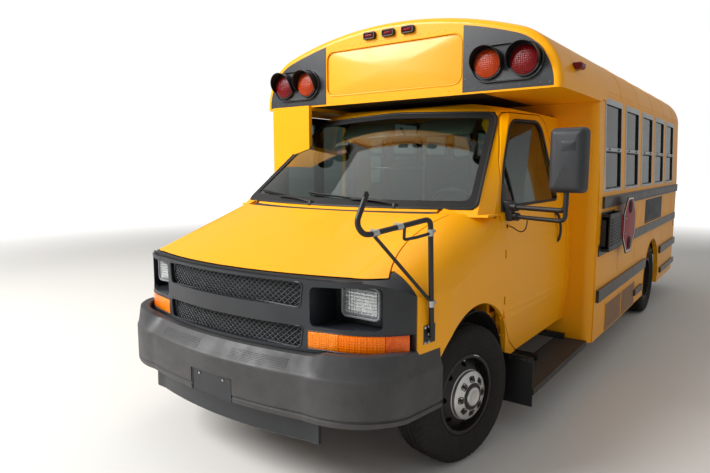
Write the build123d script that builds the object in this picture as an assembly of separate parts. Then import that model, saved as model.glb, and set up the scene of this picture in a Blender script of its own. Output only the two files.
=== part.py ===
"""A small school bus: a cutaway van cab and chassis with a riveted bus body behind it.

Millimetres, +Z up, the front faces -Y and the driver's side is +X. Every place is measured
back from the front axle and out from the bus's middle plane, and the finished pieces are
moved so that the middle of the overall length and width, with the one mirror, is at
x = y = 0. The wheels stand on z = 0.
"""
from build123d import *
import os
from math import sqrt, sin, cos, tan, radians

# Overall layout
WHEELBASE = 4039.0
FRONT_END = -951.0            # foremost point of the front bumper
REAR_END = 5720.0             # rearmost point of the rear bumper
MID_LENGTH = (FRONT_END + REAR_END) / 2
MIRROR_END = 1437.0           # outermost point, the driver's mirror
MARKER_END = 1210.0           # outermost point of the cap's side markers
MID_WIDTH = (MIRROR_END - MARKER_END) / 2
BODY_FRONT = 1620.0           # the bus body's front wall
BODY_REAR = 5600.0            # the bus body's rear wall
HALF_WIDTH = 1184.0           # bus body, half its width
FLOOR_TOP = 690.0
FLOOR_UNDER = 612.0
SKIRT_BOTTOM = 262.0

# Wheels
TYRE_R = 372.0
TYRE_WIDTH = 223.0
RIM_R = 205.0                 # bead seat
RIM_LIP_R = 216.0
RIM_HALF_WIDTH = 84.0
RIM_WALL = 8.0
HAND_HOLES = 8
HAND_HOLE_R = 17.0
HAND_HOLE_AT = 164.0          # from the wheel's middle
FRONT_WHEEL_X = 876.0
KINGPIN_X = 806.0
STEER_AT_REST = -12.0         # degrees about +Z, turned to the bus's right
DUAL_OUTER_X = 1050.0
DUAL_SPACING = 272.0
SPINDLE_R = 30.0
RUNNING_GAP = 0.3

# Bus body shell
WALL = 40.0
SILL_Z = 1355.0               # the side is upright up to here and leans in above it
SHOULDER_X = 920.0
SHOULDER_Z = 2412.0
CROWN_Z = 2548.0
SHOULDER_R = 335.0
ROOF_SPLIT_Z = 2092.0
CORNER_R = 74.0               # the rounded upright corners of the front wall

# Side windows
WINDOW_COUNT = 5
WINDOW_FIRST_Y = 1802.0
WINDOW_PITCH = 708.0
WINDOW_WIDTH = 541.0
WINDOW_Z0 = 1388.0
WINDOW_Z1 = 2073.0
WINDOW_MID_Z = 1705.0
WINDOW_FRAME = 26.0
GLASS = 6.0

# Cap over the cab
CAP_FRONT = 669.0
CAP_REAR = 1735.0
CAP_BOTTOM = 2030.0
CAP_HALF_WIDTH = 1184.0
CAP_CROWN_Z = 2560.0
CAP_WALL = 30.0
CAP_EDGE_R = 42.0             # the rounded front edge
SIGN_HALF_WIDTH = 548.0
SIGN_Z0 = 2100.0
SIGN_Z1 = 2415.0
SIGN_DEPTH = 10.0
LAMP_Z = 2200.0
LAMP_X = (735.0, 966.0)       # amber inboard, red outboard
LAMP_R = 89.0
BEZEL_R = 114.0               # half the height of the plate behind each pair of lamps
BEZEL_THICK = 16.0
CLUSTER_X = 156.0
CLUSTER_Z = 2484.0

# Cab
CAB_HALF_WIDTH = 1006.0
CAB_BULGE_Z = 900.0
CAB_BOTTOM = 425.0
BELT_X = 968.0
BELT_Z = 1312.0
RAIL_Z = 1935.0               # roof rail above the door
CAB_ROOF_Z = 2028.0
CAB_WALL = 30.0
CAB_SIDE_FRONT = 341.5        # front edge of the cab's sides, behind the fenders
PILLAR_FOOT = (915.0, 958.0, 290.0)    # screen edge x, side x and side y at the belt
PILLAR_HEAD = (722.0, 786.0, 905.0)    # the same at the roof rail
RAIL_BEND = (862.0, 1180.0)   # roof rail x and y where it straightens
RAIL_REAR_X = 872.0
FIREWALL_Y = 300.0
TOE_Y = 430.0
SHELF_Z = 700.0
SIDE_POST = 925.0             # inner walls end here, clear of the doors
TUNNEL_X = 280.0
TUNNEL_TOP = 930.0
SCREEN_FOOT_Z = 1354.0        # windscreen, middle of its bottom edge at y = 0
SCREEN_RISE = 0.776           # its rise for each millimetre back
SCREEN_BOW_R = 2100.0         # the screen's curve seen from above
DOOR_GAP = 7.0
DOOR_THICK = 60.0
DOOR_HINGE = (993.0, 362.0)   # x and y of the driver's door hinge line
DOOR_HINGE_Z = (790.0, 1060.0)
HOOD_HINGE = (110.0, 1295.0)  # y and z of the hood's hinge line
HOOD_ARM_X = (712.0, 731.0)

# Nose
NOSE_FRONT = -856.0
NOSE_HALF_WIDTH = 1000.0
HOOD_SLOPE = 18.5             # degrees
HOOD_REAR_Z = 1350.0          # hood line where it meets y = 0
HOOD_HALF_WIDTH = 795.0
HOOD_FRONT_Z = 1078.0
SKIN = 22.0
ARCH_R = 485.0
FENDER_BOTTOM = 470.0
FENDER_TAB_X = 983.4          # the cab's tabs end here, just inside the fenders
FASCIA_REAR = -552.0          # the side edge of the dark grille surround
FENDER_GAP = 4.0              # the open seam between the surround and the fender
SEAT_GAP = 0.3                # between the surround's hidden flange and the fender
TANK_LENGTH = 1200.0
TANK_REAR = WHEELBASE - 689   # the tank's rear end, ahead of the rear tyres

# Front bumper
BUMPER_TOP = 738.0
BUMPER_BOTTOM = 432.0
BUMPER_CREASE_Z = 648.0       # the top shelf slopes back and up from here
BUMPER_SHELF = (66.0, 718.0)  # inset and height of the shelf's rear edge
BUMPER_CORNER = (16.0, 758.0) # inset and height of the raised corners' top edge
BUMPER_DEPTH = 120.0
BUMPER_END_Y = -385.0
PLATE_Z = 514.0               # middle of the number plate's recess
WHEEL_SWEEP_R = 426.0         # clear of the front tyre at any lock

# Frame rails and running gear
RAIL_OUTER = 434.0
RAIL_WIDTH = 70.0
FRAME_Z0 = 470.0
FRAME_Z1 = FLOOR_UNDER
FRAME_FRONT = -760.0
FRAME_REAR = 5570.0
AXLE_TUBE_R = 55.0
EXHAUST_X = 545.0
EXHAUST_R = 32.0
REAR_WALL_BOTTOM = 622.0

# Entrance on the right side
ENTRY_X = -1010.0
ENTRY_WALL = 34.0
ENTRY_FRONT = 560.0
ENTRY_Y0 = 640.0
ENTRY_Y1 = 1540.0
ENTRY_Z0 = 332.0
ENTRY_Z1 = 1990.0
STEP_INNER = -440.0
STEP_PLATE = 20.0
STEP_Z = (300.0, 480.0)       # undersides of the two steps
LEAF_GAP = 6.0
LEAF_THICK = 26.0
LEAF_HINGE = (-1002.0, 655.0, 1525.0)   # x of both leaves' hinge lines, y of the front and the rear one
REAR_HINGE = (-484.0, 5608.0)           # x and y of the emergency door's hinge line
REAR_HINGE_Z = (760.0, 1280.0, 1800.0)

# Mirrors
MIRROR_X = MIRROR_END - 94
MIRROR_Y = 300.0
MIRROR_Z = 1605.0
TUBE_R = 14.0
CABLE_R = 3.5
CABLE_END = (996, 428, 1232)  # face of the door's grommet
BRACKET_FOOT_Z = 764  # clear of the bumper's raised corner
BRACKET_ROUTE = [
    (1016, -500, 760), (1012, -542, 1350), (885, -861, 1297), (885, -916, 1350), (885, -848, 1459)]

# Seats
SEAT_FIRST_Y = 1980.0
SEAT_PITCH = 700.0

# Stop arm
ARM_HINGE_Y = 2163.0
SIGN_SIZE = 457.0
SIGN_Y = 2400.0
ARM_Z = 1096.0

PARTS = {}


def block(x0, x1, y0, y1, z0, z1):
    """A box between two corners."""
    size = Box(abs(x1 - x0), abs(y1 - y0), abs(z1 - z0))
    return Pos((x0 + x1) / 2, (y0 + y1) / 2, (z0 + z1) / 2) * size


def outline(points, radius=0.0):
    """A closed flat outline with its corners rounded alike."""
    sketch = make_face(Polyline(*points, close=True))
    if radius:
        sketch = fillet(sketch.vertices(), radius)
    return sketch


def across(sketch, x0, x1):
    """Carry an outline drawn in (y, z) across the bus from x0 to x1."""
    return extrude(Plane.YZ.offset(x0) * sketch, amount=x1 - x0)


def along(sketch, y0, y1):
    """Carry an outline drawn in (x, z) along the bus from y0 to y1."""
    return extrude(Plane.XZ.offset(-y1) * sketch, amount=y1 - y0)


def upward(sketch, z0, z1):
    """Carry an outline drawn in (x, y) up from z0 to z1."""
    return extrude(Plane.XY.offset(z0) * sketch, amount=z1 - z0)


def rounded(y0, y1, z0, z1, radius):
    """A rounded rectangle in (y, z)."""
    return Pos((y0 + y1) / 2, (z0 + z1) / 2) * RectangleRounded(y1 - y0, z1 - z0, radius)


def rod(start, end, radius):
    """A round bar between two points."""
    axis = Vector(*end) - Vector(*start)
    return extrude(Plane(origin=start, z_dir=axis) * Circle(radius), amount=axis.length)


def bent_tube(points, radius, bend):
    """A round tube along straight runs joined by bends of one radius."""
    path = FilletPolyline(*points, radius=bend)
    return sweep(Plane(origin=path @ 0, z_dir=path % 0) * Circle(radius), path=path)


def mirrored(shape):
    """The same shape on the other side of the bus."""
    return mirror(shape, about=Plane.YZ)


def pair(shape):
    """A shape with its mirror image."""
    return shape + mirrored(shape)


def keep(name, shape):
    """Store a finished piece under its name."""
    PARTS[name] = shape


def body_outline(inset=0.0, bottom=SKIRT_BOTTOM):
    """The bus body's cross-section, set in by a wall's thickness, in (x, z)."""
    crown_drop = CROWN_Z - SHOULDER_Z
    crown_r = (SHOULDER_X ** 2 + crown_drop ** 2) / (2 * crown_drop)
    tilt = SHOULDER_X / crown_r
    centre_x = SHOULDER_X - SHOULDER_R * tilt
    centre_z = SHOULDER_Z - SHOULDER_R * sqrt(1 - tilt ** 2)
    shoulder_r = SHOULDER_R - inset
    crown = crown_r - inset
    crown_centre = CROWN_Z - crown_r
    side_x = HALF_WIDTH - inset
    eave_x = centre_x + shoulder_r
    shoulder = (centre_x + shoulder_r * tilt, centre_z + shoulder_r * sqrt(1 - tilt ** 2))
    middle = radians(37)
    bend = (centre_x + shoulder_r * cos(middle), centre_z + shoulder_r * sin(middle))
    right = [(-x, z) for x, z in (shoulder, bend)]
    edges = [
        Line((side_x, bottom), (side_x, SILL_Z)),
        Line((side_x, SILL_Z), (eave_x, centre_z)),
        ThreePointArc((eave_x, centre_z), bend, shoulder),
        ThreePointArc(shoulder, (0, crown_centre + crown), right[0]),
        ThreePointArc(right[0], right[1], (-eave_x, centre_z)),
        Line((-eave_x, centre_z), (-side_x, SILL_Z)),
        Line((-side_x, SILL_Z), (-side_x, bottom)),
        Line((-side_x, bottom), (side_x, bottom)),
    ]
    return make_face(edges)


def body_skin(outer_inset, inner_inset, y0, y1):
    """A layer of the body between two insets, open below."""
    outer = along(body_outline(outer_inset), y0, y1)
    return outer - along(body_outline(inner_inset, SKIRT_BOTTOM - 10), y0 - 1, y1 + 1)


def window_places():
    """The front edge of each side window."""
    return [WINDOW_FIRST_Y + WINDOW_PITCH * i for i in range(WINDOW_COUNT)]


def side_windows(inset, x0, x1):
    """Every side window's opening, smaller by an inset, carried from x0 to x1."""
    cut = Part()
    for y in window_places():
        edges = (y + inset, y + WINDOW_WIDTH - inset, WINDOW_Z0 + inset, WINDOW_Z1 - inset)
        cut += across(rounded(*edges, 24 - inset * 0.6), x0, x1)
    return cut


# Frame, engine and running gear

def frame_pieces():
    """Two rails, their cross-members, engine, tank and exhaust."""
    rail = block(RAIL_OUTER - RAIL_WIDTH, RAIL_OUTER, FRAME_FRONT, FRAME_REAR, FRAME_Z0, FRAME_Z1)
    keep("frame_rails", pair(rail))
    inner = RAIL_OUTER - RAIL_WIDTH
    members = Part()
    for y in (-730, 1150, 1900, 2600, 3300, 3680, 4400, 4900, 5530):
        members += block(-inner, inner, y - 30, y + 30, FRAME_Z1 - 52, FRAME_Z1)
    keep("crossmembers", members)

    engine = block(-290, 290, -330, 290, 400, 1000)
    engine += block(-150, 150, 290, 1050, 400, 600)
    engine += block(-inner, inner, -60, 60, 480, 560)
    keep("engine", engine)

    tank = block(-900, -RAIL_OUTER, TANK_REAR - TANK_LENGTH, TANK_REAR, 330, 580)
    tank = fillet(tank.edges().filter_by(Axis.Y), 60)
    keep("fuel_tank", tank)

    x = EXHAUST_X
    route = [(200, 230, 400), (200, 230, 335), (280, 420, 335), (x, 860, 370), (x, 3300, 370), (x, 3640, 500),
             (x, 4440, 500), (x, 4760, 360), (x, 5640, 360)]
    pipe = bent_tube(route, EXHAUST_R, 40)
    muffler = rod((x, 1750, 370), (x, 2400, 370), 105)
    hanger = block(RAIL_OUTER, x + 20, 2880, 2910, 480, 510) + block(x - 20, x + 20, 2880, 2910, 370, 510)
    keep("exhaust", pipe + muffler + hanger)


def axle_pieces():
    """The rear axle on its leaf springs with the driveshaft, and the front suspension."""
    y = WHEELBASE
    tube_end = DUAL_OUTER_X - DUAL_SPACING / 2
    axle = rod((-tube_end, y, TYRE_R), (tube_end, y, TYRE_R), AXLE_TUBE_R)
    axle += Pos(0, y, TYRE_R) * Sphere(150)
    spring_x = RAIL_OUTER + 37
    arc_low = TYRE_R + AXLE_TUBE_R
    leaf = make_face([
        ThreePointArc((y - 620, 500), (y, arc_low + 4), (y + 620, 500)),
        Line((y + 620, 500), (y + 620, 470)),
        ThreePointArc((y + 620, 470), (y, arc_low - 60), (y - 620, 470)),
        Line((y - 620, 470), (y - 620, 500)),
    ])
    spring = across(leaf, spring_x - 35, spring_x + 35)
    spring += rod((RAIL_OUTER, y - 595, 492), (spring_x + 30, y - 595, 492), 22)
    spring += rod((RAIL_OUTER, y + 595, 492), (spring_x + 30, y + 595, 492), 22)
    axle += pair(spring)
    axle += rod((0, 1056, 495), (0, y - 120, TYRE_R + 10), 45)
    keep("rear_axle", axle)

    arm_low = outline([(KINGPIN_X, -14), (660, -55), (500, -150), (RAIL_OUTER, -170), (RAIL_OUTER, 170),
                       (500, 150), (660, 55), (KINGPIN_X, 14)])
    arm_high = outline([(KINGPIN_X, -14), (660, -45), (500, -100), (RAIL_OUTER, -110), (RAIL_OUTER, 110),
                        (500, 100), (660, 45), (KINGPIN_X, 14)])
    low_z = TYRE_R - 142
    high_z = TYRE_R + 117
    arms = upward(arm_low, low_z, low_z + 30) + upward(arm_high, high_z, high_z + 25)
    arms += Pos(KINGPIN_X, 0, low_z + 15) * Cylinder(14, 30)
    arms += Pos(KINGPIN_X, 0, high_z + 12.5) * Cylinder(14, 25)
    cradle = block(RAIL_OUTER - 120, RAIL_OUTER, -180, 180, low_z, low_z + 30)
    cradle += block(RAIL_OUTER - 70, RAIL_OUTER, -180, 180, low_z + 30, FRAME_Z0)
    cradle += block(RAIL_OUTER, 470, -30, 30, high_z, FRAME_Z1 + 120)
    keep("front_suspension", pair(arms + cradle) + block(-330, 330, -60, 60, low_z, low_z + 30))


def tyre(x):
    """One tyre about the X axis, its middle at x."""
    half = TYRE_WIDTH / 2
    wall = [  # the tyre's profile from the bead out to the tread: distance from the middle, radius
        (RIM_HALF_WIDTH, RIM_R), (RIM_HALF_WIDTH, RIM_LIP_R), (RIM_HALF_WIDTH + 10, RIM_LIP_R),
        (half - 6, RIM_R + 40), (half, RIM_R + 82), (half - 8, TYRE_R - 34), (half - 22, TYRE_R - 8),
        (half - 40, TYRE_R),
    ]
    profile = make_face(Polyline(*[(-w, r) for w, r in wall], *reversed(wall), close=True))
    return Pos(x, 0, 0) * revolve(Plane.XY * profile, Axis.X)


def rim(x, dish, hub):
    """One steel rim about the X axis. dish is where its disc meets the barrel."""
    width = 2 * RIM_HALF_WIDTH
    barrel = Rot(0, 90, 0) * (Cylinder(RIM_R, width) - Cylinder(RIM_R - RIM_WALL, width))
    lip = Rot(0, 90, 0) * (Cylinder(RIM_LIP_R, 10) - Cylinder(RIM_R - RIM_WALL, 10))
    barrel += Pos(RIM_HALF_WIDTH + 5, 0, 0) * lip + Pos(-RIM_HALF_WIDTH - 5, 0, 0) * lip
    step = 12 if hub > dish else -12
    disc = make_face(Polyline((dish, RIM_R - 4), (dish + step, RIM_R - 4), (hub + step, 125), (hub + step, 0),
                              (hub, 0), (hub, 120), close=True))
    barrel += revolve(Plane.XY * disc, Axis.X)
    for n in range(HAND_HOLES):
        hole = Pos((dish + hub) / 2 + step, 0, HAND_HOLE_AT) * Rot(0, 90, 0) * Cylinder(HAND_HOLE_R, 90)
        barrel -= Rot(360 * n / HAND_HOLES, 0, 0) * hole
    return Pos(x, 0, 0) * barrel


def front_wheel():
    """The left front wheel's tyre, rim with hub, and knuckle, straight ahead at the axle."""
    tyre_piece = tyre(0)
    wheel = rim(0, 28, 84)
    wheel += Rot(0, 90, 0) * Pos(0, 0, 30) * Cylinder(62, 120)
    cover = make_face(Polyline((90, 0), (90, 128), (112, 126), (132, 70), (135, 60), (135, 0), close=True))
    wheel += revolve(Plane.XY * cover, Axis.X)
    wheel += Rot(0, 90, 0) * Pos(0, 0, -38) * Cylinder(118, 22)
    wheel -= Rot(0, 90, 0) * Pos(0, 0, -10) * Cylinder(SPINDLE_R, 120)
    low = -142 + 30 + RUNNING_GAP
    high = 117 - RUNNING_GAP
    post_x = KINGPIN_X - FRONT_WHEEL_X
    knuckle = block(post_x - 24, post_x + 14, -34, 34, low, high)
    knuckle += Rot(0, 90, 0) * Pos(0, 0, -20) * Cylinder(SPINDLE_R - RUNNING_GAP, 2 * 36)
    knuckle += block(post_x - 24, post_x - 4, 0, 150, -60, -36)
    return tyre_piece, wheel, knuckle


def wheel_pieces():
    """Both front wheels turned as parked, and both rear pairs."""
    tyre_piece, wheel, knuckle = front_wheel()
    shift = KINGPIN_X - FRONT_WHEEL_X
    names = ("tyre_front", "wheel_front", "knuckle")
    for side, sign in (("left", 1), ("right", -1)):
        for name, shape in zip(names, (tyre_piece, wheel, knuckle)):
            moved = Pos(-shift, 0, 0) * shape
            if sign < 0:
                moved = mirrored(moved)
            keep(name + "_" + side, Pos(sign * KINGPIN_X, 0, TYRE_R) * Rot(0, 0, STEER_AT_REST) * moved)
    inner_x = DUAL_OUTER_X - DUAL_SPACING
    tyres = tyre(DUAL_OUTER_X) + tyre(inner_x)
    rims = rim(DUAL_OUTER_X, -10, -DUAL_SPACING / 2 + 12) + rim(inner_x, 10, DUAL_SPACING / 2 - 12)
    rims += Rot(0, 90, 0) * Pos(0, 0, DUAL_OUTER_X - 60) * Cylinder(70, 190)
    rims += Rot(0, 90, 0) * Pos(0, 0, inner_x + 90) * Cylinder(118, 70)
    tube_end = DUAL_OUTER_X - DUAL_SPACING / 2
    bore = Cylinder(AXLE_TUBE_R + RUNNING_GAP, tube_end + RUNNING_GAP)
    rims -= Rot(0, 90, 0) * Pos(0, 0, (tube_end + RUNNING_GAP) / 2) * bore
    for side in ("left", "right"):
        for name, shape in (("tyres_rear", tyres), ("wheels_rear", rims)):
            moved = shape if side == "left" else mirrored(shape)
            keep(name + "_" + side, Pos(0, WHEELBASE, TYRE_R) * moved)


# Cab

def cab_section(inset=0.0):
    """The cab's cross-section in (x, z): its sides up to the belt and the roof's crown."""
    i = inset
    half = CAB_HALF_WIDTH - i
    crown_x = 900.0
    crown_z = RAIL_Z - 12 - i
    return make_face([
        Line((half - 44, CAB_BOTTOM), (half - 4, 700)),
        ThreePointArc((half - 4, 700), (half, CAB_BULGE_Z), (half - 8, 1120)),
        Line((half - 8, 1120), (BELT_X - i, BELT_Z)),
        Line((BELT_X - i, BELT_Z), (crown_x, crown_z)),
        ThreePointArc((crown_x, crown_z), (0, CAB_ROOF_Z - i), (-crown_x, crown_z)),
        Line((-crown_x, crown_z), (-BELT_X + i, BELT_Z)),
        Line((-BELT_X + i, BELT_Z), (-half + 8, 1120)),
        ThreePointArc((-half + 8, 1120), (-half, CAB_BULGE_Z), (-half + 4, 700)),
        Line((-half + 4, 700), (-half + 44, CAB_BOTTOM)),
        Line((-half + 44, CAB_BOTTOM), (half - 44, CAB_BOTTOM)),
    ])


def cab_plan(z, inset):
    """The cab's glasshouse seen from above at a height, in (x, y). It narrows upwards."""
    i = inset
    up = (z - BELT_Z) / (RAIL_Z - BELT_Z)
    foot_x, foot_side, foot_y = PILLAR_FOOT
    head_x, head_side, head_y = PILLAR_HEAD
    bend_x, bend_y = RAIL_BEND
    back = i / 0.613
    middle = (z - SCREEN_FOOT_Z) / SCREEN_RISE + back
    edge_x = foot_x + up * (head_x - foot_x) - i * 0.6
    edge_y = middle + SCREEN_BOW_R - sqrt(SCREEN_BOW_R ** 2 - edge_x ** 2)
    side_x = foot_side + up * (head_side - foot_side) - i
    side_y = foot_y + up * (head_y - foot_y) + i * 0.8
    turn_x = BELT_X + up * (bend_x - BELT_X) - i
    turn_y = foot_y + 420 + up * (bend_y - foot_y - 420)
    rear_x = BELT_X + up * (RAIL_REAR_X - BELT_X) - i
    rear_y = BODY_FRONT
    right = [(edge_x, edge_y), (side_x, side_y), (turn_x, turn_y), (rear_x, rear_y)]
    left = [(-x, y) for x, y in right]
    edges = [ThreePointArc(left[0], (0, middle), right[0])]
    edges += [Line(right[n], right[n + 1]) for n in range(3)]
    edges += [Line(right[3], left[3])]
    edges += [Line(left[3 - n], left[2 - n]) for n in range(3)]
    return Plane.XY.offset(z) * make_face(edges)


def behind_screen(back=0.0):
    """Everything behind the bowed, sloping windscreen surface, moved back a little."""
    side_y = SCREEN_BOW_R - sqrt(SCREEN_BOW_R ** 2 - 1000 ** 2)
    drop = 1000.0
    start = -drop / SCREEN_RISE + back
    face = make_face([
        ThreePointArc((-1000, start + side_y), (0, start), (1000, start + side_y)),
        Line((1000, start + side_y), (1000, start + 3600)),
        Line((1000, start + 3600), (-1000, start + 3600)),
        Line((-1000, start + 3600), (-1000, start + side_y)),
    ])
    rise = 1800.0
    lean = Vector(0, rise / SCREEN_RISE, rise)
    return extrude(Plane.XY.offset(SCREEN_FOOT_Z - drop) * face, amount=lean.length, dir=lean)


def cab_solid(inset=0.0):
    """The cab's outer form from the windscreen back to the body."""
    below = block(-1100, 1100, -400, BODY_FRONT, 0, BELT_Z) & behind_screen(inset / 0.613)
    top = RAIL_Z + 110
    glasshouse = loft([cab_plan(BELT_Z, inset), cab_plan(top, inset)], ruled=True)
    roof = make_face(Polyline(
        (-400, 300), (-400, RAIL_Z - 20), (700, RAIL_Z - 20), (800, 1976 - inset), (1000, 2010 - inset),
        (1250, CAB_ROOF_Z - inset), (BODY_FRONT, CAB_ROOF_Z - inset), (BODY_FRONT, 300), close=True))
    solid = along(cab_section(inset), -400, BODY_FRONT) & across(roof, -1100, 1100)
    return solid & (below + glasshouse)


def door_outline(grow=0.0):
    """The driver's door in (y, z)."""
    g = grow
    return outline([
        (355 - g, 770), (355 - g, 1318), (560 - g * 1.3, 1600 + g * 0.6), (812 - g, 1868 + g),
        (880 - g, 1918 + g),
        (1250 + g * 1.6, 1918 + g), (1335 + g * 1.8, 1862 + g), (1508 + g * 1.6, 1330), (1534 + g, 900),
        (1508 + g, 432 - g), (668 - g, 432 - g), (520 - g * 1.2, 530 - g * 0.6), (402 - g, 662 - g * 0.4)])


def door_window(inset=0.0):
    """The driver's door window in (y, z)."""
    i = inset
    return outline([(400 + i, 1345 + i), (575 + i, 1575), (828 + i * 1.2, 1828 - i), (900 + i, 1872 - i),
                    (1180 - i, 1872 - i), (1245 - i, 1830 - i), (1385 - i, 1345 + i)])


def screen_opening(inset=0.0):
    """The windscreen's outline seen from the front, in (x, z)."""
    i = inset
    right = [(880 - i, 1336 + i), (896 - i, 1364 + i), (746 - i, 1880 - i), (700 - i, 1930 - i)]
    left = [(-x, z) for x, z in reversed(right)]
    return outline([*right, (0, 1956 - i), *left])


def cab_walls():
    """The cab's inner walls: firewall, toe board, shelf over the tyres, floor and tunnel."""
    walls = block(-1000, 1000, FIREWALL_Y, FIREWALL_Y + CAB_WALL, SHELF_Z, 1300)
    walls += block(-1000, 1000, FIREWALL_Y, TOE_Y, SHELF_Z, SHELF_Z + CAB_WALL)
    walls += block(-1000, 1000, TOE_Y, TOE_Y + CAB_WALL, FLOOR_UNDER, SHELF_Z + CAB_WALL)
    walls += block(-1000, 1000, TOE_Y, BODY_FRONT, FRAME_Z1, FLOOR_TOP)
    walls += block(-736, 736, 60, FIREWALL_Y, 1284, 1300)
    walls -= block(SIDE_POST, 1100, FIREWALL_Y - 1, ENTRY_Y1, 0, 1400)
    walls -= block(-1100, STEP_INNER, ENTRY_FRONT, BODY_FRONT, 0, FLOOR_TOP + 1)
    walls -= block(-TUNNEL_X, TUNNEL_X, FIREWALL_Y - 1, 1100, 0, TUNNEL_TOP)
    tunnel = block(-TUNNEL_X - CAB_WALL, TUNNEL_X + CAB_WALL, FIREWALL_Y, 1130, FRAME_Z1, TUNNEL_TOP + CAB_WALL)
    tunnel -= block(-TUNNEL_X, TUNNEL_X, FIREWALL_Y - 1, 1100, 0, TUNNEL_TOP)
    return walls + tunnel


def cab_pieces():
    """The cab's shell, windscreen, driver's door and glass."""
    door_cut = across(door_outline(DOOR_GAP), 640, 1100)
    shell = cab_solid() - cab_solid(CAB_WALL)
    shell -= along(screen_opening(), -900, 1000)
    shell -= block(-1100, 1100, -2000, CAB_SIDE_FRONT, 0, 1300)
    shell -= block(-900, 900, -2000, 2000, 0, FLOOR_UNDER)
    shell -= block(-1100, -700, ENTRY_FRONT, BODY_FRONT, 0, 2000)
    shell -= block(-840, 840, BODY_FRONT - CAB_WALL - 5, BODY_FRONT + 5, 0, 1950)
    shell -= Pos(0, 0, TYRE_R) * Rot(0, 90, 0) * Cylinder(ARCH_R, 3000)
    shell += cab_walls() & (cab_solid(CAB_WALL - 2) + block(-736, 736, 60, FIREWALL_Y, 1284, 1300))
    shell -= door_cut - cab_solid(DOOR_THICK + DOOR_GAP)
    shell -= upward(hood_plan(DOOR_GAP), 1000, 1500)
    shell -= pair(block(HOOD_ARM_X[0] - 8, HOOD_ARM_X[1] + 8, -30, HOOD_HINGE[0] + 18, 1250, 1345))
    shell += pair(rod((HOOD_ARM_X[0] - 18, *HOOD_HINGE), (HOOD_ARM_X[1] + 5, *HOOD_HINGE), 7))
    shell += block(860, 925, TOE_Y, TOE_Y + CAB_WALL, 574, 620)
    shell += block(915, 975, TOE_Y, TOE_Y + CAB_WALL, 574, 590)
    shell -= block(945, 1100, 335, 349, 640, 1318)
    shell -= block(985, 1100, 335, 372, 700, 780)
    shell += pair(block(918, FENDER_TAB_X, FIREWALL_Y, FIREWALL_Y + CAB_WALL, 900, 960))
    for z in DOOR_HINGE_Z:
        shell += door_strap(z)
    keep("cab_shell", shell)

    glass = cab_solid(2) - cab_solid(2 + GLASS)
    glass &= along(screen_opening(), -900, 1000)
    glass -= across(door_outline(DOOR_GAP), 640, 1100)
    keep("windshield", glass & screen_front(0))

    door = cab_solid() - cab_solid(DOOR_THICK)
    door &= across(door_outline(), 640, 1100)
    door -= across(door_window(), 640, 1100)
    door -= block(640, 1100, 300, 1600, 1322, 2000) & cab_solid(34)
    door += rod((974, 428, 1232), (CABLE_END[0] - 0.3, 428, 1232), 9) - cable_piece()
    for z in DOOR_HINGE_Z:
        door -= block(930, 1002, 340, 380, z - 6, z + 42)
        door += Pos(*DOOR_HINGE, z + 18) * Cylinder(3, 56)
    keep("driver_door", door)
    glass = cab_solid(12) - cab_solid(12 + GLASS)
    keep("driver_door_glass", glass & across(door_window(), 640, 1100))


def door_strap(z):
    """The hinge strap from the cab's pillar to the driver's door pin, above height z."""
    x, y = DOOR_HINGE
    strap = outline([(905, 305), (925, 305), (950, 322), (x + 2, y - 6), (x - 4, y + 5), (905, 329)])
    eye = Pos(x, y) * Circle(6)
    return upward(strap + eye - Pos(x, y) * Circle(3 + RUNNING_GAP), z, z + 36)


def screen_front(back):
    """The space in front of the side pillars, holding only the windscreen's own surface."""
    return block(-1000, 1000, -400, 1000, 1200, 2000) - behind_screen(40 + back)


def nose_plan(inset=0.0):
    """The nose seen from above, in (x, y)."""
    i = inset
    front = NOSE_FRONT + i
    return make_face([
        ThreePointArc((-620, front + 84), (0, front), (620, front + 84)),
        ThreePointArc((620, front + 84), (860 - i * 0.7, -665 + i * 0.7), (962 - i, -540)),
        Line((962 - i, -540), (NOSE_HALF_WIDTH - i, -300)),
        Line((NOSE_HALF_WIDTH - i, -300), (CAB_HALF_WIDTH - i, 345)),
        Line((CAB_HALF_WIDTH - i, 345), (-CAB_HALF_WIDTH + i, 345)),
        Line((-CAB_HALF_WIDTH + i, 345), (-NOSE_HALF_WIDTH + i, -300)),
        Line((-NOSE_HALF_WIDTH + i, -300), (-962 + i, -540)),
        ThreePointArc((-962 + i, -540), (-860 + i * 0.7, -665 + i * 0.7), (-620, front + 84)),
    ])


def nose_section(inset=0.0):
    """The nose's cross-section under the hood's crown, in (x, height from the hood line)."""
    i = inset
    shoulder = (700, -38 - i)
    edge = (CAB_HALF_WIDTH + 4 - i, -330)
    corner = (912 - i * 0.7, -118 - i * 0.7)
    return make_face([
        ThreePointArc((-700, -38 - i), (0, -i), shoulder),
        ThreePointArc(shoulder, corner, edge),
        Line(edge, (edge[0], -1100)),
        Line((edge[0], -1100), (-edge[0], -1100)),
        Line((-edge[0], -1100), (-edge[0], -330)),
        ThreePointArc((-edge[0], -330), (-corner[0], corner[1]), (-700, -38 - i)),
    ])


def nose_solid(inset=0.0):
    """The hood and fenders' outer form, from the grille back to the doors."""
    rise = Vector(0, cos(radians(HOOD_SLOPE)), sin(radians(HOOD_SLOPE)))
    start = Vector(0, 0, HOOD_REAR_Z) - rise * 1300
    crown = Plane.XZ.offset(-start.Y) * Pos(0, start.Z) * nose_section(inset)
    top = extrude(crown, amount=2200, dir=rise)
    return upward(nose_plan(inset), 300, 1500) & top


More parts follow.
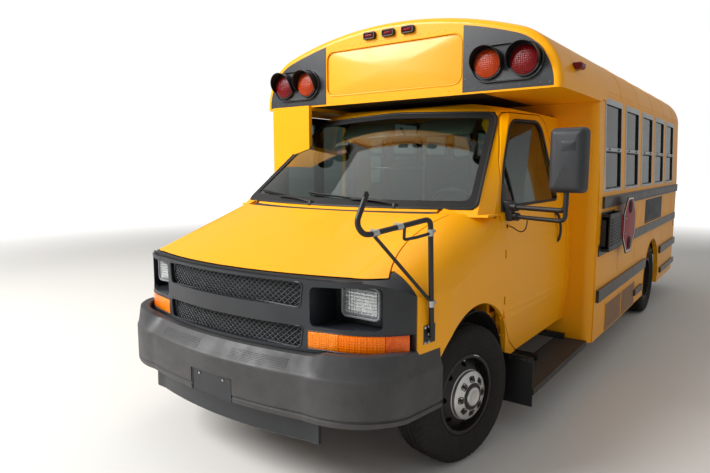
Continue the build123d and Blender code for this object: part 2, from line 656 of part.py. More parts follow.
def hood_plan(grow=0.0):
    """The hood's outline seen from above, in (x, y)."""
    g = grow
    return make_face([
        Line((-845 - g, -1000), (845 + g, -1000)),
        Line((845 + g, -1000), (845 + g, -620)),
        ThreePointArc((845 + g, -620), (748 + g, -200), (HOOD_HALF_WIDTH + g, 50 + g)),
        ThreePointArc((HOOD_HALF_WIDTH + g, 50 + g), (0, -95 + g), (-HOOD_HALF_WIDTH - g, 50 + g)),
        ThreePointArc((-HOOD_HALF_WIDTH - g, 50 + g), (-748 - g, -200), (-845 - g, -620)),
        Line((-845 - g, -620), (-845 - g, -1000)),
    ])


def nose_pieces():
    """Hood, fenders, cowl, grille surround, grille, lamps, bumper and air dam."""
    shell = nose_solid() - nose_solid(SKIN)
    hood = shell & upward(hood_plan(), HOOD_FRONT_Z, 1500)
    arm = outline([(-80, 1255), (-80, 1268), (5, 1296), (110, 1306), (110, 1284), (5, 1274)])
    arm = across(arm, *HOOD_ARM_X)
    arm += rod((HOOD_ARM_X[0], *HOOD_HINGE), (HOOD_ARM_X[1], *HOOD_HINGE), 13)
    arm -= rod((HOOD_ARM_X[0] - 1, *HOOD_HINGE), (HOOD_ARM_X[1] + 1, *HOOD_HINGE), 7 + RUNNING_GAP)
    keep("hood", hood + pair(arm))

    fender = shell & block(0, 1100, -1000, CAB_SIDE_FRONT, FENDER_BOTTOM, 1500)
    fender -= upward(hood_plan(DOOR_GAP), HOOD_FRONT_Z - 6, 1500)
    fender -= Pos(0, 0, TYRE_R) * Rot(0, 90, 0) * Cylinder(ARCH_R, 2400)
    fender -= block(-10, 1100, -1000, FASCIA_REAR + FENDER_GAP, 0, HOOD_FRONT_Z + 22)
    fender -= block(-10, 900, -1000, 400, 0, 1040)
    fender -= block(-10, 1100, 100, 400, 1316, 1500)
    fender -= cab_solid(-3) & block(-10, 1100, -200, 400, 1298, 1500)
    fender -= block(-10, 1100, -1000, BUMPER_END_Y + 5, 0, BUMPER_TOP - 12)
    fender -= block(-10, 740, -1000, 400, 0, 1500)
    fender -= block(-10, 955, FIREWALL_Y - 1, 400, SHELF_Z - 2, 1301)
    keep("fenders", pair(fender))

    cowl = nose_solid(14) - nose_solid(14 + SKIN)
    cowl_x = HOOD_ARM_X[0] - 8
    cowl &= block(-cowl_x, cowl_x, -200, 200, 1180, 1500)
    cowl -= upward(hood_plan(DOOR_GAP), 1000, 1500)
    cowl -= cab_solid(-1) + block(-900, 900, 59, FIREWALL_Y, 1284, 1301)
    keep("cowl", cowl)

    face = shell & block(-1100, 1100, -1000, FASCIA_REAR, BUMPER_TOP - 16, HOOD_FRONT_Z + 16)
    face -= upward(hood_plan(DOOR_GAP), HOOD_FRONT_Z - 6, 1500)
    grille_openings = [(842, 738), (1048, 930)]
    for top, bottom in grille_openings:
        hole = outline([(-500, top), (500, top), (485, bottom), (-485, bottom)], 24)
        face -= along(hole, -1000, -600)
    bezel = outline([(530, 846), (530, 1030), (852, 1043), (852, 846)], 26)
    lamp_slot = outline([(520, 741), (520, 825), (985, 825), (985, 741)], 10)
    for side in (1, -1):
        cut = along(bezel, -1000, -500) + along(lamp_slot, -1000, -556)
        face -= cut if side > 0 else mirrored(cut)
    flange = nose_solid(SKIN / 2) - nose_solid(SKIN)
    flange &= block(880, 1100, FASCIA_REAR - 12, FASCIA_REAR + FENDER_GAP - SEAT_GAP, 850, 1000)
    face += pair(flange)
    recess = block(508, 874, -830, -560, 826, 1062) & nose_solid(SKIN)
    recess -= block(528, 854, -840, -596, 840, 1044)
    keep("fascia", face + pair(recess))

    mesh = (nose_solid(SKIN) - nose_solid(SKIN + 12)) & block(-506, 506, -1000, -700, 734, 1056)
    keep("grille", mesh)

    turn = (nose_solid(2) - nose_solid(2 + SKIN + 10)) & along(lamp_slot, -1000, -556)
    lamp = Pos(716, -628, 958) * Rot(90, 0, 0) * extrude(RectangleRounded(224, 164, 30), amount=32, both=True)
    keep("headlamps", pair(lamp) + pair(turn))

    bumper = upward(bumper_plan(0), BUMPER_BOTTOM, BUMPER_CREASE_Z)
    bumper += bumper_slope(0, BUMPER_CREASE_Z, *BUMPER_SHELF)
    bumper -= upward(bumper_plan(BUMPER_DEPTH), 0, 1000)
    rise = outline([(600, 660), (1100, 660), (1100, 800), (704, 800), (690, 758)])
    corner = bumper_slope(0, 690, *BUMPER_CORNER) & along(rise, -1000, BUMPER_END_Y)
    corner -= across(outline([(-700, 758), (-380, 735), (-380, 800), (-700, 800)]), 600, 1100)
    corner -= nose_solid(-4) + upward(bumper_plan(58), 600, 800)
    bumper += pair(corner)
    plate = block(-153, 153, FRONT_END - 1, FRONT_END + 9, PLATE_Z - 78, PLATE_Z + 78)
    bumper -= plate
    bumper -= pair(Pos(KINGPIN_X, 0, 600) * Cylinder(WHEEL_SWEEP_R, 800))
    for x in (-88.9, 88.9):
        for z in (PLATE_Z - 60.325, PLATE_Z + 60.325):
            bumper -= Pos(x, FRONT_END + 30, z) * Rot(90, 0, 0) * Cylinder(3.5, 60)
    bumper += pair(block(RAIL_OUTER - RAIL_WIDTH, RAIL_OUTER, -840, FRAME_FRONT, FRAME_Z0, FRAME_Z1))
    keep("front_bumper", bumper)
    dam = upward(bumper_plan(60) - bumper_plan(78), 318, BUMPER_BOTTOM)
    keep("air_dam", dam & block(-640, 640, -1000, -700, 300, 500))


def bumper_slope(low_inset, low_z, high_inset, high_z):
    """The space inside the bumper's line, drawn in evenly between two heights."""
    low = Plane.XY.offset(low_z) * bumper_plan(low_inset)
    high = Plane.XY.offset(high_z) * bumper_plan(high_inset)
    return loft([low, high], ruled=True)


def bumper_plan(inset):
    """The front bumper seen from above, in (x, y)."""
    i = inset
    front = FRONT_END + i
    k = 0.8 * i
    return make_face([
        ThreePointArc((-560, front + 58), (0, front), (560, front + 58)),
        ThreePointArc((560, front + 58), (850 - k, -798 + k), (968 - i, -640)),
        Line((968 - i, -640), (1004 - i, BUMPER_END_Y)),
        Line((1004 - i, BUMPER_END_Y), (-1004 + i, BUMPER_END_Y)),
        Line((-1004 + i, BUMPER_END_Y), (-968 + i, -640)),
        ThreePointArc((-968 + i, -640), (-850 + k, -798 + k), (-560, front + 58)),
    ])


# Bus body

def body_pieces():
    """Floor, walls, roof, cap, windows and rails of the bus body."""
    inner = HALF_WIDTH - WALL
    floor = block(-inner, inner, BODY_FRONT + WALL, BODY_REAR - WALL, FLOOR_UNDER, FLOOR_TOP)
    for side in (1, -1):
        well = block(side * 633, side * inner, WHEELBASE - 450, WHEELBASE + 450, FLOOR_UNDER, 852)
        hollow = block(side * 645, side * (inner + 5), WHEELBASE - 438, WHEELBASE + 438, FLOOR_UNDER - 5, 840)
        floor = floor + well - hollow
    steps = entry_steps()
    keep("body_floor", floor)
    keep("entry_steps", steps)

    shell = body_skin(0, WALL, BODY_FRONT + WALL, BODY_REAR - WALL)
    side = shell & block(0, 1300, 0, 6000, SKIRT_BOTTOM, ROOF_SPLIT_Z)
    side -= side_windows(0, 900, 1300)
    side -= Pos(0, WHEELBASE, TYRE_R) * Rot(0, 90, 0) * Cylinder(430, 3000)
    keep("left_side", side)
    keep("right_side", mirrored(side))
    roof = shell & block(-1300, 1300, CAP_REAR, 6000, ROOF_SPLIT_Z, 2700)
    keep("roof", roof)

    ends = (BODY_FRONT + WALL, BODY_REAR - WALL)
    ring = body_skin(-5, 26, *ends) & (side_windows(0, 900, 1300) - side_windows(WINDOW_FRAME, 900, 1300))
    low, high = WINDOW_MID_Z - 14, WINDOW_MID_Z + 14
    for y in window_places():
        rail = block(1100, 1200, y + WINDOW_FRAME, y + WINDOW_WIDTH - WINDOW_FRAME, low, high)
        ring += rail & body_skin(-2, 26, *ends)
    keep("window_frames", pair(ring))
    pane = body_skin(8, 8 + GLASS, *ends) & side_windows(WINDOW_FRAME, 900, 1300)
    for y in window_places():
        pane -= block(1100, 1200, y, y + WINDOW_WIDTH, low, high)
    keep("window_glass", pair(pane))

    rails = Part()
    bars = [  # front y, rear y, low z, high z, thickness
        (1764, 5590, 1262, 1350, 16),
        (1700, 5590, 909, 994, 8),
        (1700, 3590, 560, 652, 22),
        (4490, 5590, 592, 672, 22),
        (4600, 5590, 350, 410, 22),
        (3120, 3480, 350, 410, 22),
    ]
    for y0, y1, z0, z1, thick in bars:
        rails += block(HALF_WIDTH, HALF_WIDTH + thick, y0, y1, z0, z1)
    keep("rub_rails", pair(rails))

    wall = along(body_outline(), BODY_FRONT, BODY_FRONT + WALL)
    wall &= upward(Pos(0, BODY_FRONT + 100) * RectangleRounded(2 * HALF_WIDTH, 200, CORNER_R), 0, 2700)
    wall &= block(-1300, 1300, 0, 3000, SKIRT_BOTTOM, CAP_BOTTOM)
    upper = along(body_outline(WALL + 4), BODY_FRONT, BODY_FRONT + WALL)
    wall += upper & block(-1300, 1300, 0, 3000, CAP_BOTTOM, 2700)
    wall -= block(-840, 840, 0, 3000, FLOOR_UNDER - 1, 1950)
    wall -= block(-RAIL_OUTER - 260, RAIL_OUTER + 260, 0, 3000, 0, FLOOR_UNDER)
    keep("front_wall", wall)

    keep("front_cap", cap_shell())
    rear_pieces()


def cap_outline(inset=0.0, bottom=CAP_BOTTOM):
    """The cap's cross-section in (x, z)."""
    i = inset
    drop = CAP_CROWN_Z - SHOULDER_Z
    crown_r = (SHOULDER_X ** 2 + drop ** 2) / (2 * drop)
    tilt = SHOULDER_X / crown_r
    shoulder_r = (CAP_HALF_WIDTH - SHOULDER_X) / (1 - tilt)
    centre_x = SHOULDER_X - shoulder_r * tilt
    centre_z = SHOULDER_Z - shoulder_r * sqrt(1 - tilt ** 2)
    r = shoulder_r - i
    shoulder = (centre_x + r * tilt, centre_z + r * sqrt(1 - tilt ** 2))
    middle = radians(36)
    bend = (centre_x + r * cos(middle), centre_z + r * sin(middle))
    side = centre_x + r
    return make_face([
        Line((side, bottom), (side, centre_z)),
        ThreePointArc((side, centre_z), bend, shoulder),
        ThreePointArc(shoulder, (0, CAP_CROWN_Z - i), (-shoulder[0], shoulder[1])),
        ThreePointArc((-shoulder[0], shoulder[1]), (-bend[0], bend[1]), (-side, centre_z)),
        Line((-side, centre_z), (-side, bottom)),
        Line((-side, bottom), (side, bottom)),
    ])


def cap_shell():
    """The cap over the cab with its sign recess and lamp places."""
    cap = along(cap_outline(), CAP_FRONT, CAP_REAR)
    front = cap.faces().sort_by(Axis.Y)[0]
    cap = fillet([edge for edge in front.edges() if edge.center().Z > CAP_BOTTOM + 1], CAP_EDGE_R)
    cap -= along(cap_outline(CAP_WALL, CAP_BOTTOM + 15), CAP_FRONT + CAP_WALL, CAP_REAR + 1)
    cap -= along(body_outline(), BODY_FRONT + WALL, CAP_REAR + 5) & block(-1300, 1300, 0, 3000, 0, ROOF_SPLIT_Z)
    cap -= block(-1300, 1300, BODY_FRONT, CAP_REAR + 5, CAP_BOTTOM - 5, CAP_BOTTOM + 16)
    sign = Pos(0, (SIGN_Z0 + SIGN_Z1) / 2) * RectangleRounded(2 * SIGN_HALF_WIDTH, SIGN_Z1 - SIGN_Z0, 60)
    cap -= along(sign, CAP_FRONT - 1, CAP_FRONT + SIGN_DEPTH)
    return cap


def rear_pieces():
    """The rear wall, its emergency door, lamps and bumper."""
    wall = along(body_outline(), BODY_REAR - WALL, BODY_REAR)
    wall -= block(-487, 487, 5000, 6000, 659, 1961)
    glass_places = [(-1020, -600), (600, 1020)]
    for x0, x1 in glass_places:
        wall -= along(Pos((x0 + x1) / 2, 1700) * RectangleRounded(x1 - x0, 500, 40), 5000, 6000)
    wall -= block(-1300, 1300, 5000, 6000, 0, REAR_WALL_BOTTOM)
    hinge_x, hinge_y = REAR_HINGE
    for z in REAR_HINGE_Z:
        wall += block(-535, hinge_x, BODY_REAR, BODY_REAR + 5, z, z + 30)
        wall += Pos(hinge_x, hinge_y, z + 15) * Cylinder(8, 30)
        wall += Pos(hinge_x, hinge_y, z + 45) * Cylinder(4, 30)
    keep("rear_wall", wall)
    door = block(-480, 480, BODY_REAR - WALL, BODY_REAR, 666, 1954)
    panes = [(1450, 1900, 800), (800, 1250, 800)]
    glass = Part()
    for z0, z1, width in panes:
        hole = Pos(0, (z0 + z1) / 2) * RectangleRounded(width, z1 - z0, 40)
        door -= along(hole, 5000, 6000)
        glass += along(hole, BODY_REAR - 23, BODY_REAR - 17)
    door += block(300, 340, BODY_REAR, BODY_REAR + 24, 1330, 1370)
    for z in REAR_HINGE_Z:
        door += block(hinge_x, -430, BODY_REAR, BODY_REAR + 5, z + 30.5, z + 60)
        door += Pos(hinge_x, hinge_y, z + 45.25) * Cylinder(8, 29.5)
        door -= Pos(hinge_x, hinge_y, z + 45.25) * Cylinder(4 + RUNNING_GAP, 40)
    keep("emergency_door", door)
    keep("emergency_door_glass", glass)
    side_glass = Part()
    for x0, x1 in glass_places:
        hole = Pos((x0 + x1) / 2, 1700) * RectangleRounded(x1 - x0, 500, 40)
        side_glass += along(hole, BODY_REAR - 23, BODY_REAR - 17)
    PARTS["window_glass"] += side_glass

    bar = block(-1150, 1150, BODY_REAR, REAR_END, 420, 620)
    bar -= block(-1120, 1120, BODY_REAR - 1, REAR_END - 8, 428, 612)
    bar += pair(block(RAIL_OUTER - RAIL_WIDTH, RAIL_OUTER, FRAME_REAR, REAR_END - 8, FRAME_Z0, FRAME_Z1 - 10))
    for x in (-88.9, 88.9):
        for z in (520 - 60.325, 520 + 60.325):
            bar -= Pos(x, REAR_END - 4, z) * Rot(90, 0, 0) * Cylinder(3.5, 30)
    keep("rear_bumper", bar)


def lamp_pieces():
    """Round warning lamps with visors, the cluster lamps and the tail lamps."""
    lamps = Part()
    for x in LAMP_X:
        for side in (1, -1):
            lamps += visor_lamp(side * x, CAP_FRONT, LAMP_Z, -1)
            lamps += visor_lamp(side * x, BODY_REAR, LAMP_Z, 1)
        lamps += pair(along(Pos(x, 1050) * Circle(60 if x < 900 else 80), BODY_REAR, BODY_REAR + 30))
    bezel_x = (LAMP_X[0] + LAMP_X[1]) / 2
    bezel_width = LAMP_X[1] - LAMP_X[0] + 2 * BEZEL_R
    for y in (CAP_FRONT - BEZEL_THICK, BODY_REAR):
        bezel = Pos(bezel_x, LAMP_Z) * RectangleRounded(bezel_width, 2 * BEZEL_R, BEZEL_R - 1)
        lamps += pair(along(bezel, y, y + BEZEL_THICK))
    for x in (-CLUSTER_X, 0, CLUSTER_X):
        lamps += block(x - 46, x + 46, CAP_FRONT - 28, CAP_FRONT, CLUSTER_Z - 22, CLUSTER_Z + 26)
        lamps += block(x - 46, x + 46, BODY_REAR, BODY_REAR + 28, CLUSTER_Z - 42, CLUSTER_Z + 6)
    marker = block(HALF_WIDTH - 60, MARKER_END, 960, 1060, 2168, 2212)
    lamps += pair(marker - along(cap_outline(), 900, 1100))
    keep("warning_lamps", lamps)


def visor_lamp(x, y, z, facing):
    """One round lamp standing on the wall at y with a half-round visor over it."""
    lens = Rot(90, 0, 0) * Cylinder(LAMP_R, 40)
    hood = Rot(90, 0, 0) * (Cylinder(LAMP_R + 16, 110) - Cylinder(LAMP_R + 8, 120))
    hood -= block(-200, 200, -200, 200, -200, -45)
    base = Rot(90, 0, 0) * Cylinder(LAMP_R + 16, 16)
    lamp = Pos(0, facing * 20, 0) * lens + Pos(0, facing * 55, 0) * hood + Pos(0, facing * 8, 0) * base
    return Pos(x, y, z) * lamp


# Doors, arms, mirrors, steps and seats

def entry_steps():
    """The two entrance steps in a folded well under the door."""
    outer = ENTRY_X + ENTRY_WALL
    middle = (outer + STEP_INNER) / 2
    well = block(outer, STEP_INNER, ENTRY_Y0, ENTRY_Y1, STEP_Z[0], FLOOR_TOP)
    ends = (ENTRY_Y0 + STEP_PLATE, ENTRY_Y1 - STEP_PLATE)
    well -= block(outer - 10, middle, *ends, STEP_Z[0] + STEP_PLATE, 800)
    well -= block(middle - 10, STEP_INNER - STEP_PLATE, *ends, STEP_Z[1] + STEP_PLATE, 800)
    well -= block(middle + STEP_PLATE, STEP_INNER + 10, ENTRY_Y0 - 5, ENTRY_Y1 + 5, 0, STEP_Z[1])
    return well


def entry_pieces():
    """The two-leaf entrance door on the right side and its surround."""
    x0 = ENTRY_X
    inner = x0 + ENTRY_WALL
    frame = block(x0, inner, ENTRY_FRONT, BODY_FRONT, STEP_Z[0], CAP_BOTTOM)
    frame -= block(x0 - 5, inner + 5, ENTRY_Y0, ENTRY_Y1, ENTRY_Z0, ENTRY_Z1)
    frame += block(x0, -690, ENTRY_FRONT, BODY_FRONT, ENTRY_Z1 + 12, CAP_BOTTOM)
    frame += block(x0, -640, ENTRY_FRONT, ENTRY_FRONT + ENTRY_WALL, FLOOR_TOP, CAP_BOTTOM) - cab_solid(-1)
    frame -= cab_solid(-1) & block(-1100, 0, 0, 2000, 1990, 2100)
    for y in LEAF_HINGE[1:]:
        for z in (ENTRY_Z0, ENTRY_Z1):
            frame -= Pos(LEAF_HINGE[0], y, z) * Cylinder(4 + RUNNING_GAP, 24)
    keep("entry_surround", frame)
    middle = (ENTRY_Y0 + ENTRY_Y1) / 2
    leaves = [  # name, front edge, rear edge, hinge y
        ("front", ENTRY_Y0 + 8, middle - 4, LEAF_HINGE[1]),
        ("rear", middle + 4, ENTRY_Y1 - 8, LEAF_HINGE[2]),
    ]
    for name, y0, y1, hinge_y in leaves:
        leaf = block(x0 + 4, x0 + 4 + LEAF_THICK, y0, y1, ENTRY_Z0 + LEAF_GAP, ENTRY_Z1 - LEAF_GAP)
        glass = Part()
        for z0, z1 in ((1180, 1930), (440, 1110)):
            hole = rounded(y0 + 50, y1 - 50, z0, z1, 30)
            leaf -= across(hole, x0 - 10, x0 + 60)
            glass += across(hole, x0 + 14, x0 + 20)
        for z in (ENTRY_Z0, ENTRY_Z1):
            leaf += Pos(LEAF_HINGE[0], hinge_y, z) * Cylinder(4, 22)
        keep("entry_leaf_" + name, leaf)
        keep("entry_glass_" + name, glass)


def stop_arm_pieces():
    """The stop arm's housing on the left side and its eight-sided sign."""
    face = HALF_WIDTH + 8
    housing = block(face, face + 54, 1760, 2150, 940, 1223)
    housing += block(face, face + 30, 1740, 2156, 980, 1180)
    housing += Pos(face + 26, ARM_HINGE_Y, ARM_Z) * Box(52, 18, 60)
    housing -= Pos(face + 53, ARM_HINGE_Y, 0) * Cylinder(9.3, 5000)
    keep("stop_arm_housing", housing)
    plate = RegularPolygon(SIGN_SIZE / 2, 8, major_radius=False, rotation=22.5)
    sign = across(Pos(SIGN_Y, ARM_Z) * plate, face + 58, face + 66)
    for z in (ARM_Z - 62, ARM_Z + 62):
        sign += block(face + 48, face + 58, ARM_HINGE_Y, ARM_HINGE_Y + 160, z - 22, z + 22)
    sign += Pos(face + 53, ARM_HINGE_Y, ARM_Z) * Cylinder(9, 190)
    keep("stop_sign", sign)


def mirror_head():
    """The big mirror's head, its glass side facing back at y = 0."""
    back = RectangleRounded(2 * (MIRROR_END - MIRROR_X), 337, 24)
    front = RectangleRounded(128, 286, 24)
    return loft([Plane.XZ * back, Plane.XZ.offset(92) * front])


def mirror_pieces():
    """The driver's big mirror on its tube arms, and the bracket of the missing front mirror."""
    head = Pos(MIRROR_X, MIRROR_Y + 40, MIRROR_Z) * mirror_head()
    foot = block(950, 1012, 410, 470, 1265, 1380)
    arms = Part()
    bars = [  # height, y of the foot, height of the upright's top, tube radius
        (1345, 430, 1460, TUBE_R),
        (1290, 444, 1400, TUBE_R - 2),
    ]
    for z, foot_y, top, radius in bars:
        route = [(1000, foot_y, z), (MIRROR_X, MIRROR_Y - 8, z), (MIRROR_X, MIRROR_Y - 8, top)]
        arms += bent_tube(route, radius, 34)
    arms -= cable_piece()
    keep("mirror_left", head + arms + foot - cab_solid(-0.3))

    bracket = block(940, 1012, -545, -445, BRACKET_FOOT_Z, 872)
    bracket += bent_tube(BRACKET_ROUTE, TUBE_R - 2, 26)
    bracket += rod((1014, -508, 965), (893, -799, 1290), 8)
    keep("mirror_bracket", bracket - nose_solid())


def cabin_pieces():
    """Dash with its steering wheel, the seats and the running board."""
    dash = block(-900, 900, FIREWALL_Y + CAB_WALL, 640, 1060, 1284) & cab_solid(DOOR_THICK + DOOR_GAP + 2)
    dash -= block(-1000, 1000, 560, 700, 0, 1180)
    dash += rod((480, 600, 1160), (480, 790, 1260), 35)
    ring = Pos(480, 790, 1260) * Rot(-62, 0, 0) * (Torus(185, 15) + Box(360, 30, 14) + Cylinder(60, 20))
    keep("dashboard", dash + ring)
    seats = Part()
    wheelhouse = (WHEELBASE - 450, WHEELBASE + 450)
    for row in range(WINDOW_COUNT):
        y = SEAT_FIRST_Y + row * SEAT_PITCH
        outer_foot = 852.0 if wheelhouse[0] < y + 420 and y + 60 < wheelhouse[1] else FLOOR_TOP
        bench = block(190, 1130, y, y + 400, 1050, 1150)
        bench += block(190, 1130, y + 400, y + 470, 1050, 1640)
        bench += block(260, 300, y + 60, y + 420, FLOOR_TOP, 1050)
        bench += block(1040, 1080, y + 60, y + 420, outer_foot, 1050)
        seats += pair(bench)
    driver = block(330, 780, 1000, 1450, 1040, 1150) + block(330, 780, 1450, 1540, 1040, 1800)
    driver += block(400, 700, 1080, 1400, FLOOR_TOP, 1040)
    keep("seats", seats + driver)
    board = block(930, 1150, 463, BODY_FRONT, 250, 280) + block(930, 1150, 455, 463, 175, 470)
    for y in (960, 1560):
        board += block(RAIL_OUTER, 1000, y, y + 40, 280, 320)
        board += block(RAIL_OUTER, RAIL_OUTER + 40, y, y + 40, 280, FRAME_Z0 + 30)
    keep("running_board", board)


def cable_route():
    """The mirror cable's hand-set points, from the mirror's arm to the door's grommet."""
    return [(1106, 397, 1275.5), (1104, 400, 1257), (1098, 407, 1236), (1086, 417, 1217), (1068, 427, 1206),
            (1047, 432, 1207), (1028, 432, 1216), (1014, 429, 1228), CABLE_END]


def cable_piece():
    """The mirror's heater cable: straight runs joined by tangent arcs."""
    points = [Vector(*p) for p in cable_route()]
    radii = []
    for before, here, after in zip(points, points[1:], points[2:]):
        turn = (here - before).get_angle(after - here)
        shorter = min((here - before).length, (after - here).length)
        radii.append(0.45 * shorter / tan(radians(turn / 2)))
    path = FilletPolyline(*points, radius=radii)
    return sweep(Plane(origin=path @ 0, z_dir=path % 0) * Circle(CABLE_R), path=path)


def build():
    """Make every piece and write one STEP file for each."""
    frame_pieces()
    axle_pieces()
    wheel_pieces()
    cab_pieces()
    nose_pieces()
    body_pieces()
    lamp_pieces()
    entry_pieces()
    stop_arm_pieces()
    mirror_pieces()
    cabin_pieces()
    keep("mirror_cable", cable_piece())
    os.makedirs("parts", exist_ok=True)
    for name, shape in PARTS.items():
        export_step(Pos(-MID_WIDTH, -MID_LENGTH, 0) * shape, "parts/" + name + ".step")
        print(name, len(shape.solids()), "solids")


build()
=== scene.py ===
"""Looks of a small school bus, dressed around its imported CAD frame.

Places are written in millimetres as in the part's source: x to the driver's side, y back from
the front axle and z up from the ground. place() turns them into the frame's metres.
"""

import logging
from collections.abc import Callable, Iterable
from dataclasses import dataclass, field
from enum import Enum
from functools import reduce
from math import cos, pi, radians, sin

import bpy
import numpy as np
from mathutils import Matrix, Vector


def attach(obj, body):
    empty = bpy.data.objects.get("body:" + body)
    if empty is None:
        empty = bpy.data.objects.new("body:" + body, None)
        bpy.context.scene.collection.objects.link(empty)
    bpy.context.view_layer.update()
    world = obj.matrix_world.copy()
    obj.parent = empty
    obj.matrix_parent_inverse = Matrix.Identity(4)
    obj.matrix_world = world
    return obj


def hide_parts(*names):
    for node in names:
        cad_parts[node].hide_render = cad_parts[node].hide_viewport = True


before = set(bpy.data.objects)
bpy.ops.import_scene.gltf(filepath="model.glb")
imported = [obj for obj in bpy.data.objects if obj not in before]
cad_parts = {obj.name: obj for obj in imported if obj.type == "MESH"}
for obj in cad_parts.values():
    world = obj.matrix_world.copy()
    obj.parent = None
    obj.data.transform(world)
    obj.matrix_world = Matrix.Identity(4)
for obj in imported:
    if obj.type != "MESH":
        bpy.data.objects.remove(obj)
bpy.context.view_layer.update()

LOG = logging.getLogger("bus")
MID_LENGTH = 2384.5           # y of the frame's origin, behind the front axle
MID_WIDTH = 113.5             # x of the frame's origin, out from the bus's middle plane
TYRE_R = 372.0
WHEELBASE = 4039.0
KINGPIN_X = 806.0
PARKED_TURN = -12.0           # degrees about +Z, the front wheels as parked
FRONT_TRACK_X = 876.0         # middles of the front tyres
DUAL_X = (1050.0, 778.0)      # middles of the outer and inner rear tyres
BODY_X = 1184.0               # the bus body's upright side, out from the middle plane
SILL_Z = 1355.0               # the body's side leans in above this
BELT_Z = 1312.0               # the cab's side leans in above this
SCREEN_FOOT_Z = 1354.0        # the screen's height at y = 0
SCREEN_SLOPE = 0.776          # its rise for each millimetre back
SCREEN_BOW_R = 2100.0         # radius of its bow, seen from above
SCREEN_OUT = (0.0, -0.613, 0.79)    # the way straight out of it

Array = np.ndarray
Tree, Node, Socket = bpy.types.NodeTree, bpy.types.Node, bpy.types.NodeSocket
Pair = tuple[float, float]
Point = tuple[float, float, float]
ORIGIN: Point = (0.0, 0.0, 0.0)


class Body(Enum):
    """The CAD bodies that new pieces ride on."""

    CHASSIS = "chassis"
    DOOR = "door_left"
    REAR_DOOR = "rear_door"
    STOP_ARM = "stop_arm"
    WHEEL_FL = "front_wheel_left"
    WHEEL_FR = "front_wheel_right"
    WHEEL_RL = "rear_wheels_left"
    WHEEL_RR = "rear_wheels_right"


# Surfaces worked out on grids

@dataclass
class Surface:
    """Points in millimetres with the quads and triangles that join them."""

    points: Array
    quads: Array = field(default_factory=lambda: np.zeros((0, 4), int))
    tris: Array = field(default_factory=lambda: np.zeros((0, 3), int))

    def __add__(self, other: "Surface") -> "Surface":
        """Both surfaces as one."""
        n = len(self.points)
        return Surface(
            np.vstack([self.points, other.points]),
            np.vstack([self.quads, other.quads + n]),
            np.vstack([self.tris, other.tris + n]),
        )

    def moved(self, x: float = 0.0, y: float = 0.0, z: float = 0.0) -> "Surface":
        """The surface shifted by millimetres."""
        return Surface(self.points + np.array([x, y, z]), self.quads, self.tris)

    def turned(self, axis: str, degrees: float, about: Point = ORIGIN) -> "Surface":
        """The surface turned about an axis through a point.

        Args:
            axis: X, Y or Z.
            degrees: the turn, right-handed.
            about: a point on the axis.

        Returns:
            The turned surface.
        """
        turn = np.array(Matrix.Rotation(radians(degrees), 3, axis))
        middle = np.array(about)
        return Surface((self.points - middle) @ turn.T + middle, self.quads, self.tris)

    def mirrored(self) -> "Surface":
        """The surface on the other side of the bus, its faces still pointing out."""
        return Surface(self.points * np.array([-1.0, 1, 1]), self.quads[:, ::-1], self.tris[:, ::-1])

    def repeated(self, places: Array) -> "Surface":
        """A copy of the surface at each of several places, all turned alike.

        Args:
            places: (k, 3) shifts in millimetres.

        Returns:
            One surface that holds the k copies.
        """
        k, n = len(places), len(self.points)
        step = (np.arange(k) * n)[:, None, None]
        return Surface(
            (self.points[None] + places[:, None]).reshape(-1, 3),
            (self.quads[None] + step).reshape(-1, 4),
            (self.tris[None] + step).reshape(-1, 3),
        )


def grid(points: Array, close_u: bool = False, close_v: bool = False) -> Surface:
    """Joins an (m, n, 3) grid of points by quads: cell (i, j) joins its four neighbours in turn.

    Args:
        points: the grid, row by row.
        close_u: joins the last row to the first.
        close_v: joins the last column to the first.

    Returns:
        The surface. Its faces point along (row step) x (column step).
    """
    m, n = points.shape[:2]
    i = np.arange(m if close_u else m - 1)[:, None]
    j = np.arange(n if close_v else n - 1)[None]
    a, b = i * n + j, ((i + 1) % m) * n + j
    c, d = ((i + 1) % m) * n + (j + 1) % n, i * n + (j + 1) % n
    return Surface(points.reshape(-1, 3), np.stack([a, b, c, d], -1).reshape(-1, 4))


def stack(rings: Array) -> Surface:
    """A closed solid through (m, n, 3) rings: each ring is joined to the next and both ends are fans.

    The rings run anticlockwise as seen from beyond the last one, so that every face points out.

    Args:
        rings: the rings from one end to the other.

    Returns:
        The closed surface.
    """
    m, n = rings.shape[:2]
    side = grid(rings.transpose(1, 0, 2), close_u=True)
    points = np.vstack([side.points, rings[0].mean(0), rings[-1].mean(0)])
    ring = np.arange(n)
    first, last = ring * m, ring * m + m - 1
    nxt_first, nxt_last = np.roll(first, -1), np.roll(last, -1)
    bottom = np.stack([np.full(n, m * n), nxt_first, first], -1)
    top = np.stack([np.full(n, m * n + 1), last, nxt_last], -1)
    return Surface(points, side.quads, np.vstack([bottom, top]))


def unit(angles: Array) -> Array:
    """The flat direction at each angle: (cosine, sine)."""
    return np.stack([np.cos(angles), np.sin(angles)], -1)


def circle(radius: float, sides: int = 24) -> Array:
    """A ring of (n, 2) points: radius times (cosine, sine) of equal steps round."""
    turn = np.linspace(0, 2 * pi, sides, endpoint=False)
    return radius * unit(turn)


def rounded_box(width: float, height: float, radius: float, per_corner: int = 6) -> Array:
    """A rounded rectangle's ring of (n, 2) points: quarter circles about its four corner centres."""
    radius = min(radius, width / 2, height / 2)
    turn = np.linspace(0, pi / 2, per_corner)
    corners = []
    for k, (sx, sy) in enumerate(((1, 1), (-1, 1), (-1, -1), (1, -1))):
        middle = np.array([sx * (width / 2 - radius), sy * (height / 2 - radius)])
        angle = turn + k * pi / 2
        corners.append(middle + radius * unit(angle))
    return np.vstack(corners)


